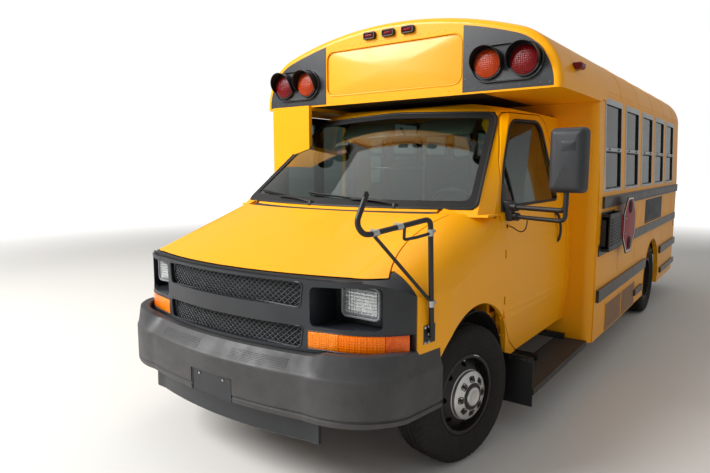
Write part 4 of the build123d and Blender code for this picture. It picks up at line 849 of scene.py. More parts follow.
@dataclass
class FrontCap:
    """The cap over the cab: black lamp corners, blank sign with its border, lamps, rivets and soffit."""

    face_y: float = 669.0
    low_z: float = 2042.0
    panel_x: float = 560.0
    rim_inset: float = 47.0
    side_arc: Point = (799.37, 2046.8, 384.63)    # the cap's shoulder: x and z of its centre, and its radius
    crown_arc: Pair = (-373.5, 2933.5)            # the cap's crown: z of its centre, and its radius
    lamp_x: Pair = (735.0, 966.0)
    lamp_z: float = 2200.0
    lamp_r: float = 86.0
    bezel_size: Pair = (459.0, 228.0)
    bezel_thick: float = 18.0
    visor_deep: Pair = (30.0, 104.0)              # at its ends and at its top
    visor_turn: Pair = (-24.0, 204.0)             # degrees where it begins and ends
    cluster: tuple[float, ...] = (-156.0, 0.0, 156.0)
    cluster_z: float = 2486.0
    sign: Point = (1096.0, 315.0, 2257.5)         # width, height and the height of its middle

    def corner(self) -> Surface:
        """The flat black panel behind a pair of lamps: the cap's arcs drawn in, closed down to its foot."""
        side_x, side_z, side_r = self.side_arc
        crown_z, crown_r = self.crown_arc
        turn = np.linspace(0, radians(70.0), 18)
        side = np.array([side_x, side_z]) + (side_r - self.rim_inset) * unit(turn)
        x = np.linspace(side[-1, 0] - 25, self.panel_x, 10)
        crown = np.stack([x, crown_z + np.sqrt((crown_r - self.rim_inset) ** 2 - x ** 2)], -1)
        foot = np.array([[self.panel_x, self.low_z], [side[0, 0], self.low_z]])
        ring = np.vstack([foot, side, crown])
        return boss(ring, [(0, 0), (0, 1.5), (1, 2.5), (2, 2.5)], Plane.FRONT, (0, self.face_y, 0))

    def bezel(self) -> Surface:
        """The raised plate behind two lamps: an oval with a lifted lip and a sunk floor."""
        width, height = self.bezel_size
        ring = rounded_box(width, height, height / 2 - 1, 12)
        thick = self.bezel_thick
        steps = [(0, 0), (0, thick - 3), (2, thick), (7, thick), (10, thick - 4), (12, 5), (30, 4)]
        middle = sum(self.lamp_x) / 2
        return boss(ring, steps, Plane.FRONT, (middle, self.face_y - 2, self.lamp_z))

    def lens(self, x: float) -> Surface:
        """A domed lens: radius falls as height rises, a turned curve."""
        r = self.lamp_r
        profile = [[2, r], [22, r], [30, r * 0.97], [36, r * 0.86], [41, r * 0.62], [44, r * 0.3]]
        return turned_profile(profile, Plane.FRONT, (x, self.face_y, self.lamp_z), 40)

    def lens_ring(self, x: float) -> Surface:
        """The black ring that clamps a lens."""
        r = self.lamp_r
        profile = np.array([[r + 9, 4], [r + 9, 22], [r + 6, 26], [r + 1, 26], [r - 1, 22], [r - 1, 4]])
        turn = np.linspace(0, 2 * pi, 41)
        return arc_bar(profile, turn, Plane.FRONT, (x, self.face_y, self.lamp_z))

    def visor(self, x: float) -> Surface:
        """The hood over a lamp: a thin wall swept round the top, deepest above and cut back at its ends."""
        first, last = self.visor_turn
        turn = np.linspace(radians(first), radians(last), 37)
        r = self.lamp_r + 11
        least, most = self.visor_deep
        part = (turn - radians(first)) / radians(last - first)
        deep = least + (most - least) * np.clip(np.sin(part * pi), 0, 1) ** 0.55
        radius = np.array([r, r + 3, r + 3, r])
        wall = np.stack([np.broadcast_to(radius, (37, 4)),
                         np.array([0, 0, 1, 1.0]) * deep[:, None] + np.array([3, 3, 0, 0.0])], -1)
        return arc_bar(wall, turn, Plane.FRONT, (x, self.face_y, self.lamp_z))

    def clusters(self, end: str, plane: Plane, y: float, z: float) -> None:
        """Makes the three small lamps high in the middle of one end.

        Args:
            end: front or rear, for the pieces' names.
            plane: the way the lamps face.
            y: the wall that they stand on.
            z: their height.
        """
        places = np.array([[x, y, z] for x in self.cluster])
        hood = boss(rounded_box(98, 50, 12, 5), [(0, 0), (0, 20), (3, 25), (9, 25), (12, 12)], plane)
        lens = boss(rounded_box(72, 25, 9, 5), [(0, 8), (0, 20), (3, 24), (8, 26)], plane)
        piece("cluster_hoods_" + end, hood.repeated(places), SATIN_BLACK)
        piece("cluster_lenses_" + end, lens.repeated(places), RED)

    def warning_lamps(self, end: str, put: Callable[[Surface], Surface]) -> None:
        """Makes the four big lamps of one end: bezels, rings, visors and lenses.

        Args:
            end: front or rear, for the pieces' names.
            put: moves a surface of the front to that end.
        """
        amber_x, red_x = self.lamp_x
        bezels = piece("lamp_bezels_" + end, both_sides(put(self.bezel())), LAMP_PANEL)
        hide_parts("warning_lamps")
        rings = put(self.lens_ring(amber_x) + self.lens_ring(red_x))
        piece("lamp_rings_" + end, both_sides(rings), SATIN_BLACK)
        visors = put(self.visor(amber_x) + self.visor(red_x))
        piece("lamp_visors_" + end, both_sides(visors), SATIN_BLACK)
        piece("amber_lamps_" + end, both_sides(put(self.lens(amber_x))), AMBER_DEEP)
        piece("red_lamps_" + end, both_sides(put(self.lens(red_x))), RED)

    def sign_border(self) -> Surface:
        """The bead round the sign: a small round profile carried round the recess."""
        width, height, z = self.sign
        ring = rounded_box(width + 6, height + 6, 62, 10)
        return bead(ring, circle(5, 8), Plane.FRONT, (0, self.face_y, z))

    def sign_face(self) -> Surface:
        """The blank sheet in the sign's recess."""
        width, height, z = self.sign
        return plate(width - 4, height - 4, 2.5, Plane.FRONT, (0, self.face_y + 10, z), 58, 1)

    def rivets(self) -> tuple[Surface, Surface]:
        """Rivets along the cap's foot, on the black corners and on the yellow middle."""
        z, y = self.low_z + 18, self.face_y - 2
        black = row((self.panel_x + 22, y, z), (1118, y, z), 60)
        upright = row((self.panel_x + 20, y, z + 60), (self.panel_x + 20, y, 2440), 95)
        yellow = row((-520, y + 2, z), (520, y + 2, z), 60)
        top = row((-430, y + 2, 2446), (430, y + 2, 2446), 62)
        head = rivet(Plane.FRONT)
        return both_sides(head.repeated(np.vstack([black, upright]))), head.repeated(np.vstack([yellow, top]))

    def soffit(self) -> Surface:
        """The black sheet between the cab's roof and the cap: partly a rubber seal, partly painted shade for
        the dark gap under the cap.
        """
        return plate(1380, 930, 1.6, Plane.BELOW, (0, 1140, 2030), 20, 0.5)

    def side_marker(self) -> Surface:
        """The small lamp on the cap's side."""
        ring = rounded_box(96, 40, 10, 5)
        return boss(ring, [(0, -30), (0, 12), (3, 20), (9, 25)], Plane.LEFT, (BODY_X, 1010, 2190))

    def build(self) -> None:
        """Makes the cap's pieces."""
        piece("lamp_corners_front", both_sides(self.corner()), LAMP_PANEL)
        self.warning_lamps("front", lambda shape: shape)
        self.clusters("front", Plane.FRONT, self.face_y, self.cluster_z)
        piece("sign_border", self.sign_border(), YELLOW)
        piece("sign_sheet", self.sign_face(), SIGN_YELLOW)
        black, yellow = self.rivets()
        piece("corner_rivets", black, LAMP_PANEL)
        piece("cap_rivets", yellow, YELLOW)
        # A black rubber sheet under the cap, which also stands in as painted shade for the dark gap between
        # the cab roof and the cap.
        piece("cab_roof_seal_and_painted_shade", self.soffit(), SEAL)
        piece("cap_side_markers", both_sides(self.side_marker()), RED)


@dataclass
class Nose:
    """The grille's mesh, the lamps set into the surround, and the lips round its openings."""

    openings: tuple[Pair, ...] = ((842.0, 738.0), (1048.0, 930.0))
    mesh_half: float = 500.0
    strand_pitch: float = 33.0
    strand: float = 5.0
    strand_run: float = 1.25      # how far along the nose a strand goes for each millimetre up
    lamp_at: Point = (716.0, -596.0, 958.0)
    lamp_size: Point = (224.0, 164.0, 32.0)
    turn_z: Pair = (743.0, 823.0)
    turn_x: tuple[float, float, float, float] = (522.0, 672.0, 862.0, 936.0)

    def strands(self, low: float, high: float, lean: int) -> Surface:
        """One slanting family of the mesh: thin bars whose length along the nose grows with height.

        Bar k runs through s = s0 + k * pitch + lean * (z - low) * run, held between the opening's ends,
        and its section is a small diamond.
        """
        rise = (high - low) * self.strand_run
        before, after = (rise, 0) if lean > 0 else (0, rise)
        start = np.arange(-self.mesh_half - before, self.mesh_half + after, self.strand_pitch)
        z = np.linspace(low - 6, high + 6, 5)
        s = start[:, None] + lean * (z - low)[None] * self.strand_run
        s = np.clip(s, -self.mesh_half - 4, self.mesh_half + 4)
        r = self.strand / 2
        around, outward = np.array([r, 0, -r, 0]), np.array([0, r, 0, -r])
        points = np.stack([
            s[..., None] + around,
            np.broadcast_to(z[None, :, None], (*s.shape, 4)),
            np.broadcast_to(-27.0 + lean * 1.4 + outward, (*s.shape, 4)),
        ], -1)
        bars = NOSE.wrap(points)
        first = grid(bars[0], close_v=True)
        k, n = len(bars), bars.shape[1] * 4
        quads = (first.quads[None, :, ::-1] + (np.arange(k) * n)[:, None, None]).reshape(-1, 4)
        return Surface(bars.reshape(-1, 3), quads)

    def backing(self) -> Surface:
        """The black sheet behind the mesh: a thin wall carried along the nose."""
        wall = np.array([[-36.0, 736], [-34, 736], [-34, 1052], [-36, 1052]])
        return NOSE.run(wall, np.linspace(-self.mesh_half - 4, self.mesh_half + 4, 24))

    def lip(self, top: float, bottom: float) -> Surface:
        """The rounded lip of an opening, carried round its corners on the nose."""
        half = self.mesh_half
        corners = np.array([[-half, bottom], [half, bottom], [half, top], [-half, top]])
        corners[[0, 1], 0] *= 0.97
        ring = smooth_ring(corners, 24, 6)
        path = NOSE.wrap(np.column_stack([ring, np.full(len(ring), -1.0)]))
        return hoop(path, NOSE.out(ring[:, 0]), circle(5, 8))

    def sealed_beam(self) -> tuple[Surface, Surface]:
        """The headlamp: a grey rim and the pressed glass in it."""
        rim_steps = [(0, 0), (0, 54), (3, 61), (6, 63), (11, 63), (14, 60), (16, 50), (17, 46)]
        rim = boxed(*self.lamp_size, rim_steps, Plane.FRONT, self.lamp_at)
        glass_steps = [(16, 46), (16.5, 54), (20, 59), (30, 62), (50, 63.5), (66, 63.5)]
        glass = boxed(*self.lamp_size, glass_steps, Plane.FRONT, self.lamp_at)
        return rim, glass

    def shelf_ribs(self) -> Surface:
        """Three small ribs on the floor beside the headlamp."""
        bar = plate(5, 90, 4, Plane.TOP, (560, -655, 840), 2, 1)
        return bar + bar.moved(x=13) + bar.moved(x=26)

    def turn_lamp(self, start: float, end: float) -> Surface:
        """One stretch of the wraparound lamp: a bowed profile carried along the nose."""
        low, high = self.turn_z
        wall = np.array([[-22, low], [-1, low], [1.5, low + 5], [3, low + 24],
                         [3, high - 24], [1.5, high - 5], [-1, high], [-22, high]])
        s0, s1 = NOSE.length_at(start), NOSE.length_at(end)
        return NOSE.run(wall, np.linspace(s0, s1, 14))

    def turn_ribs(self) -> Surface:
        """The thin moulded edges above and below the wraparound lamp."""
        low, high = self.turn_z
        s0, s1 = NOSE.length_at(self.turn_x[0] - 6), NOSE.length_at(self.turn_x[-1] + 8)
        lines = np.linspace(s0, s1, 18)
        rib = np.array([[-8.0, -2.5], [1, -2.5], [3.5, 0], [1, 2.5], [-8, 2.5]])
        return NOSE.run(rib + [0, high + 3], lines) + NOSE.run(rib + [0, low - 3], lines)

    def hood_line(self) -> Surface:
        """The dark rubber between the surround and the hood's front edge."""
        wall = np.array([[-16.0, 1074], [-4, 1074], [-4, 1077.5], [-16, 1077.5]])
        reach = NOSE.length_at(775)
        return NOSE.run(wall, np.linspace(-reach, reach, 60))

    def build(self) -> None:
        """Makes the nose's pieces."""
        mesh = [self.strands(low, high, lean) for high, low in self.openings for lean in (1, -1)]
        backing = piece("grille_backing", self.backing(), DEEP_BLACK)
        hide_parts("grille")
        piece("grille_mesh", joined(mesh), MESH_GREY)
        lips = joined(self.lip(*edges) for edges in self.openings)
        piece("grille_lips", lips, FASCIA_PLASTIC)
        rim, glass = self.sealed_beam()
        rims = piece("headlamp_rims", both_sides(rim), LAMP_RIM)
        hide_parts("headlamps")
        piece("headlamp_glass", both_sides(glass), CLEAR_LENS)
        piece("headlamp_shelf_ribs", both_sides(self.shelf_ribs()), FASCIA_PLASTIC)
        front, middle, bulb, end = self.turn_x
        piece("turn_lamp_fronts", both_sides(self.turn_lamp(front, middle - 2)), AMBER_PALE)
        piece("turn_lamp_middles", both_sides(self.turn_lamp(middle, bulb - 2)), AMBER)
        piece("turn_lamp_ends", both_sides(self.turn_lamp(bulb, end)), AMBER_BOWL)
        piece("turn_lamp_ribs", both_sides(self.turn_ribs()), FASCIA_PLASTIC)
        piece("hood_front_rubber", self.hood_line(), SEAL)


@dataclass
class FrontBumper:
    """The moulded bumper with its sloping shelf, ribbed pads and raised corners."""

    low_z: float = 432.0
    crease_z: float = 648.0
    shelf: Pair = (66.0, 718.0)       # the flat top's distance in, and its height
    depth: float = 118.0
    recess_top: float = 552.0
    recess_half: float = 154.0
    recess_depth: float = 10.0
    rise: Pair = (560.0, 120.0)       # where along the line the shelf starts to rise, and over what length
    fall: Pair = (1010.0, 380.0)      # where the rise gets lower again, and over what length
    rib_rows: int = 7
    rib_pitch: float = 8.2

    def skin(self) -> Surface:
        """The bumper's shell: a profile of (inset, height) carried along its plan line.

        The shelf's rear half rises by a smooth step towards the corners, the profile's own corners
        are eased, and points within the plate's recess are held in by its depth.
        """
        line = np.linspace(-1.0, 1.0, 141) * (BUMPER.lengths()[-1] - 1)
        edge = self.recess_half + np.array([-0.2, 0.2])
        line = np.unique(np.concatenate([line, -edge, edge]))
        inset_in, shelf_z = self.shelf
        shape = np.array([
            [-self.depth, self.low_z], [-14, self.low_z], [-5, self.low_z + 3], [-1, self.low_z + 12],
            [0, self.low_z + 26], [-7, self.low_z + 30], [-7, self.low_z + 36], [0, self.low_z + 42],
            [0, self.recess_top - 0.4], [0, self.recess_top + 0.4],
            [0, self.crease_z - 14], [-1.5, self.crease_z - 5], [-5, self.crease_z + 1],
            [-11, self.crease_z + 6], [-24, self.crease_z + 20], [-44, self.crease_z + 44],
            [-inset_in, shelf_z - 1], [-inset_in - 8, shelf_z + 2], [-inset_in - 18, shelf_z + 2],
            [-self.depth + 3, shelf_z], [-self.depth, shelf_z - 4],
        ])
        along = np.clip((np.abs(line) - self.rise[0]) / self.rise[1], 0, 1)
        lift = along ** 2 * (3 - 2 * along)
        high = np.clip((shape[:, 1] - self.crease_z) / (shelf_z - self.crease_z), 0, 1)
        rings = np.broadcast_to(shape, (len(line), *shape.shape)).copy()
        end = np.clip((np.abs(line) - self.fall[0]) / self.fall[1], 0, 1)
        rings[..., 1] += lift[:, None] * high[None] * (34 - 22 * end[:, None])
        rings[..., 0] += lift[:, None] * high[None] * 44
        face = (shape[:, 1] < self.recess_top) & (shape[:, 0] > -20)
        sunk = (np.abs(line) < self.recess_half)[:, None] & face[None]
        rings[..., 0] = np.where(sunk, -self.recess_depth, rings[..., 0])
        lengths = np.broadcast_to(line[:, None], rings.shape[:2])
        wrapped = np.stack([lengths, rings[..., 1], rings[..., 0]], -1)
        return stack(BUMPER.wrap(wrapped)[::-1])

    def pads(self) -> Surface:
        """The ribbed step pads on the shelf: rows of thin ribs laid on its slope."""
        rib = np.array([[-2.2, -1.0], [2.2, -1.0], [1.4, 1.4], [-1.4, 1.4]])
        slope = np.array([-0.63, 0.77])
        turned = rib @ np.array([[slope[0], slope[1]], [slope[1], -slope[0]]])
        ribs = []
        for k in range(self.rib_rows):
            middle = np.array([-14.0, self.crease_z + 9]) + slope * k * self.rib_pitch
            ribs.append(BUMPER.run((turned + middle)[::-1], np.linspace(120, 470, 18)))
        return both_sides(joined(ribs))

    def plate_screws(self) -> Surface:
        """The two pale screw heads in the number plate's recess."""
        head = turned_profile([[0, 7.0], [2.5, 6.5], [3.5, 4]], Plane.FRONT, (88.9, -943.5, 533), 12)
        return both_sides(head)

    def plate_holder(self) -> Surface:
        """The blank holder in the recess: a flat panel with a raised rim."""
        steps = [(0, 0), (0, 4), (1, 5.5), (5, 5.5), (6, 3), (20, 3)]
        return boxed(298, 122, 8, steps, Plane.FRONT, (0, -939, 489))

    def lower_lip(self) -> Surface:
        """The dark flexible lip under the bumper."""
        wall = np.array([[-78.0, 312], [-62, 308], [-56, 314], [-58, 434], [-78, 434]])
        return BUMPER.run(wall, np.linspace(-620, 620, 40))

    def build(self) -> None:
        """Makes the bumper's pieces."""
        skin = piece("bumper_cover", self.skin(), BUMPER_PLASTIC, sharp=28)
        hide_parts("front_bumper")
        piece("bumper_step_ribs", self.pads(), BUMPER_PLASTIC)
        piece("plate_holder", self.plate_holder(), FASCIA_PLASTIC)
        piece("plate_screws", self.plate_screws(), ZINC)
        lip = piece("bumper_lip", self.lower_lip(), FASCIA_PLASTIC)
        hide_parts("air_dam")


@dataclass
class Windscreen:
    """The screen's rubber, its black printed edge, the wipers and the slotted cowl in front."""

    corners: tuple[Pair, ...] = (
        (904.0, 1336.0), (746.0, 1880.0), (700.0, 1930.0), (0.0, 1956.0))

    def outline(self, inset: float = 0.0) -> Array:
        """The screen's closed outline in (x, z), finely divided so that it can follow the bow."""
        right = np.array(self.corners)
        corners = np.vstack([right, right[-2::-1] * [-1, 1]])
        return divided(smooth_ring(drawn_in(corners, inset), 40, 5), 24.0, smooth_ring(corners, 40, 5))

    def rubber(self) -> Surface:
        """The black rubber round the screen: an oval profile carried round it."""
        ring = self.outline(7)
        path = screen_point(*ring.T, 1.0)
        out = screen_point(*ring.T, 2.0) - path
        return hoop(path, out, circle(1, 10) * [6, 10])

    def printed_edge(self) -> Surface:
        """The black band printed round the glass: a thin wall between two outlines of the screen."""
        loops = [(6.0, 0.4), (6.0, 1.4), (46.0, 1.4), (46.0, 0.4)]
        rings = []
        for inset, out in loops:
            ring = self.outline(inset)
            rings.append(screen_point(*ring.T, out))
        return grid(np.stack(rings), close_u=True, close_v=True)

    def wiper(self, pivot: Pair, tip: Pair, blade: tuple[float, float, float, float]
              ) -> Surface:
        """One wiper: a tapering arm over the glass and a thin blade across its end.

        Args:
            pivot: x and z of the pivot.
            tip: x and z where the arm meets the blade.
            blade: x and z of both ends of the blade.

        Returns:
            The arm with its blade.
        """
        t = np.linspace(0, 1, 14)
        x, z = (pivot[k] + (tip[k] - pivot[k]) * t for k in (0, 1))
        lift = 9 + 17 * np.sin(pi * np.clip(t * 1.05, 0, 1)) ** 0.8
        path = screen_point(x, z) + lift[:, None] * np.array(SCREEN_OUT)
        arm = carried(rounded_box(16, 7, 3, 3), path, SCREEN_OUT)
        bx, bz = (blade[k] + (blade[k + 2] - blade[k]) * np.linspace(0, 1, 20) for k in (0, 1))
        line = screen_point(bx, bz) + np.array(SCREEN_OUT) * 9
        strip = carried(rounded_box(7, 14, 2.5, 3), line, SCREEN_OUT)
        cap = turned_profile([[-24, 17], [2, 16], [8, 11], [10, 4]], Plane.TOP, tuple(path[0]), 16)
        return arm + strip + cap

    def cowl_slots(self) -> Surface:
        """The cowl's air grille: small slanting bars in rows, each a repeated four-sided bar."""
        bar = plate(5, 26, 5, Plane.TOP, ORIGIN, 2, 1).turned("Z", 28)
        columns, rows = np.meshgrid(np.arange(-330, 470, 15.0), np.arange(3))
        x = columns.ravel() + rows.ravel() * 6
        y = 74 + rows.ravel() * 27 + (x / 600) ** 2 * 20
        return bar.repeated(np.stack([x, y, np.full(len(x), 1300.5)], -1))

    def cowl_top(self) -> Surface:
        """The moulded cowl panel in front of the glass: bands from the hood's edge up to the rubber."""
        x = np.linspace(-735, 735, 61)
        front = 62 + (x / 800) ** 2 * 60
        back = screen_point(x, np.full_like(x, 1338.0))[:, 1] - 6
        rise = np.array([0, 0.1, 0.5, 0.9, 1.0])
        y = front[None] + (back - front)[None] * rise[:, None]
        z = 1301 + 26 * rise[:, None] ** 2 + np.zeros_like(x)[None]
        top = np.stack([np.broadcast_to(x, y.shape), y, z], -1)
        under = top[::-1] - [0, 0, 3.0]
        return stack(np.concatenate([top, under])[::-1].transpose(1, 0, 2))

    def mirror(self) -> Surface:
        """The inside mirror on its stalk behind the glass."""
        head = plate(230, 62, 18, Plane.FRONT, (0, 905, 1768), 20, 5)
        return head + tube([(0, 905, 1790), (0, 860, 1830), (0, 838, 1850)], 8, 12, (1, 0, 0), 10)

    def visors(self) -> Surface:
        """The two sun visors folded up under the roof."""
        board = rounded_box(430, 150, 30, 5)
        flat = boss(board, [(0, 0), (0, 8), (3, 14), (10, 16)], Plane.FRONT)
        return both_sides(flat.turned("X", -42).moved(x=330, y=900, z=1836))

    def build(self) -> None:
        """Makes the screen's pieces."""
        piece("screen_rubber", self.rubber(), SEAL)
        piece("screen_printed_edge", self.printed_edge(), DEEP_BLACK)
        left = self.wiper((455, 1352), (150, 1376), (-215, 1402, 395, 1366))
        right = self.wiper((-140, 1350), (-480, 1372), (-790, 1404, -250, 1370))
        piece("wipers", left + right, SATIN_BLACK)
        piece("cowl_top", self.cowl_top(), COWL_PLASTIC)
        piece("cowl_slots", self.cowl_slots(), MESH_GREY)
        piece("inside_mirror", self.mirror(), SATIN_BLACK)
        piece("sun_visors", self.visors(), HEADLINER)


@dataclass
class DriverDoor:
    """The door's window rubber, corner panel, handle, creases and lock."""

    window: tuple[Pair, ...] = (
        (400.0, 1345.0), (575.0, 1575.0), (828.0, 1828.0), (900.0, 1872.0), (1180.0, 1872.0),
        (1245.0, 1830.0), (1385.0, 1345.0))
    handle_y: float = 1320.0
    handle_z: Pair = (1054.0, 1254.0)
    lean: float = -6.0            # degrees about +Y, the panel under the handle and the lock
    crease_y: Pair = (372.0, 1500.0)
    crease_half: float = 26.0

    def rubber(self) -> Surface:
        """The window's rubber, carried round the opening on the leaning side."""
        ring = divided(smooth_ring(drawn_in(np.array(self.window), 2.0), 45, 6), 30.0)
        path = glasshouse(*ring.T, -2)
        return hoop(path, (0.985, 0, 0.17), circle(1, 10) * [9, 10])

    def divider(self) -> Surface:
        """The upright bar behind the small fixed front pane."""
        z = np.linspace(1350, 1610, 12)
        path = glasshouse(np.full_like(z, 604.0), z, -12)
        return carried(rounded_box(16, 22, 4, 3), path, (1, 0, 0))

    def corner_panel(self) -> Surface:
        """The black corner panel that carries the mirror, a smooth sail over the window's front corner."""
        corners = np.array([[372, 1318], [548, 1318], [548, 1420], [505, 1478], [480, 1472]], float)
        ring = smooth_ring(corners, 12, 4)
        outer = glasshouse(*ring.T, 7)
        inner = glasshouse(*ring.T, -14)
        crown = glasshouse(*drawn_in(ring, 4).T, 10)
        return stack(np.stack([inner, outer, crown]))

    def handle(self) -> Surface:
        """The upright pull handle: a bowed bar over a shallow cup."""
        low, high = self.handle_z
        t = np.linspace(0, 1, 16)
        z = low + (high - low) * t
        bow = 12 + 24 * np.sin(pi * t) ** 0.6
        x = 990 - 0.075 * (z - low) + bow
        path = np.stack([x, np.full_like(z, self.handle_y), z], -1)
        bar = carried(rounded_box(24, 15, 6, 4), path, (1, 0, 0))
        cup = boss(rounded_box(46, high - low + 26, 20, 6), [(0, -4), (0, 3), (3, 5), (6, 3.5)], Plane.LEFT)
        tilted = cup.turned("Y", self.lean).moved(x=985, y=self.handle_y, z=(low + high) / 2)
        return bar + tilted

    def lock(self) -> Surface:
        """The key lock's small bright disc."""
        disc = turned_profile([[-2, 11.0], [3, 11], [4.5, 9], [4.5, 3]], Plane.LEFT, sides=20)
        return disc.turned("Y", self.lean).moved(x=994, y=self.handle_y, z=1022)

    def crease(self, z_front: float, z_rear: float, rise: float) -> Surface:
        """A pressed line along the door: a low rounded ridge that dies away at both ends."""
        t = np.linspace(0, 1, 40)
        y = self.crease_y[0] + (self.crease_y[1] - self.crease_y[0]) * t
        z = z_front + (z_rear - z_front) * t
        swell = rise * np.sin(pi * np.clip(t, 0.001, 0.999)) ** 0.5
        across = np.linspace(-1, 1, 7)
        zz = z[:, None] + across[None] * self.crease_half
        xx = cab_side(zz) - 1.0 + swell[:, None] * np.cos(across[None] * pi / 2)
        top = np.stack([xx, np.broadcast_to(y[:, None], xx.shape), zz], -1)
        back = top[:, ::-1] - [3.0, 0, 0]
        return stack(np.concatenate([top, back], 1)[::-1])

    def build(self) -> None:
        """Makes the door's pieces."""
        piece("door_window_rubber", self.rubber(), SEAL, Body.DOOR)
        piece("door_window_divider", self.divider(), SATIN_BLACK, Body.DOOR)
        piece("door_corner_panel", self.corner_panel(), FASCIA_PLASTIC, Body.DOOR)
        piece("door_handle", self.handle(), SATIN_BLACK, Body.DOOR)
        piece("door_lock", self.lock(), ZINC, Body.DOOR)
        creases = self.crease(1142, 1150, 5.0) + self.crease(742, 716, 4.0)
        piece("door_creases", creases, YELLOW, Body.DOOR, 60)


@dataclass
class Mirror:
    """The driver's big mirror: moulded head, glass, tube arms, foot and heater cable."""

    at: Point = (1343.0, 300.0, 1605.0)
    width: float = 188.0
    height: float = 337.0

    def head(self) -> Surface:
        """The moulded housing: rounded boxes from its open back to its crowned front."""
        steps = [(2, -2.0), (0, 0.0), (0, 6), (1, 28), (4, 52), (9, 70), (17, 82), (28, 88), (40, 91)]
        x, y, z = self.at
        return boxed(self.width, self.height, 30, steps, Plane.FRONT, (x, y + 40, z))

    def glass(self) -> Surface:
        """The mirror glass and the smaller bowed glass under it, on the side that faces back."""
        x, y, z = self.at
        flat = plate(self.width - 22, 205, 2.5, Plane.BACK, (x, y + 41.5, z + 52), 18, 1)
        bowed = boss(rounded_box(self.width - 22, 92, 18, 6), [(0, 0), (0, 2), (8, 4), (24, 6)], Plane.BACK,
                     (x, y + 41.5, z - 108))
        return flat + bowed

    def inset_panel(self) -> Surface:
        """The sunk blank plate on the housing's front, and two small plugs."""
        x, y, z = self.at
        panel = plate(74, 52, 2.0, Plane.FRONT, (x + 12, y - 49.5, z + 72), 6, 0.8)
        plug = turned_profile([[0, 4.5], [1.5, 4], [2, 2]], Plane.FRONT, (x + 8, y - 50, z - 40), 10)
        return panel + plug + plug.moved(z=-78)

    def arms(self) -> Surface:
        """Two bent tubes from the foot to under the head."""
        x, y, _ = self.at
        upper = tube([(1000, 430, 1345), (x, y - 8, 1345), (x, y - 8, 1460)], 14, 38, (0.2, 1, 0.1), 16)
        lower = tube([(1000, 444, 1290), (x, y - 8, 1290), (x, y - 8, 1400)], 12, 40, (0.2, 1, 0.1), 16)
        return upper + lower

    def foot(self) -> Surface:
        """The cast foot with its two stacked collars."""
        block = boss(rounded_box(54, 118, 10, 4), [(0, 0), (0, 44), (4, 52), (12, 54)], Plane.LEFT,
                     (958, 440, 1322))
        collar = turned_profile([[-22, 21.0], [-20, 24], [20, 24], [22, 21]], Plane.LEFT, sides=20)
        high = collar.turned("Z", -20).moved(1022, 423, 1345)
        low = collar.turned("Z", -22).moved(1022, 436, 1290)
        return block + high + low

    def grommet(self) -> Surface:
        """The rubber grommet where the cable enters the door."""
        profile = [[-4, 11], [2, 11], [4, 9], [6, 5.5], [14, 4.6]]
        return turned_profile(profile, Plane.LEFT, (983, 428, 1232), 18)

    def cable(self) -> None:
        """The heater cable: a smooth line through the part's route points, from the arm into the door."""
        route = np.array([
            (1106, 397, 1275.5), (1104, 400, 1257), (1098, 407, 1236), (1086, 417, 1217), (1068, 427, 1206),
            (1047, 432, 1207), (1028, 432, 1216), (1014, 429, 1228), (996, 428, 1232)], float)
        points = place(route)
        curve = bpy.data.curves.new("mirror_cable_line", "CURVE")
        curve.dimensions = "3D"
        spline = curve.splines.new("NURBS")
        spline.points.add(len(points) - 1)
        spline.points.foreach_set("co", np.column_stack([points, np.ones(len(points))]).ravel())
        spline.order_u = 3
        spline.use_endpoint_u = True
        spline.resolution_u = 8
        curve.bevel_depth = 0.0035
        curve.bevel_resolution = 3
        curve.use_fill_caps = True
        curve.materials.append(SEAL.material())
        made = bpy.data.objects.new("heater_cable", curve)
        bpy.context.scene.collection.objects.link(made)
        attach(made, Body.DOOR.value)
        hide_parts("mirror_cable")

    def build(self) -> None:
        """Makes the mirror's pieces."""
        self.cable()
        head = piece("mirror_housing", self.head(), MIRROR_PLASTIC, Body.DOOR, 50)
        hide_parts("mirror_left")
        piece("mirror_glasses", self.glass(), MIRROR_GLASS, Body.DOOR)
        piece("mirror_panel", self.inset_panel(), FASCIA_PLASTIC, Body.DOOR)
        piece("mirror_arms", self.arms(), SATIN_BLACK, Body.DOOR, 60)
        piece("mirror_foot", self.foot(), SATIN_BLACK, Body.DOOR)
        piece("cable_grommet", self.grommet(), SEAL, Body.DOOR)


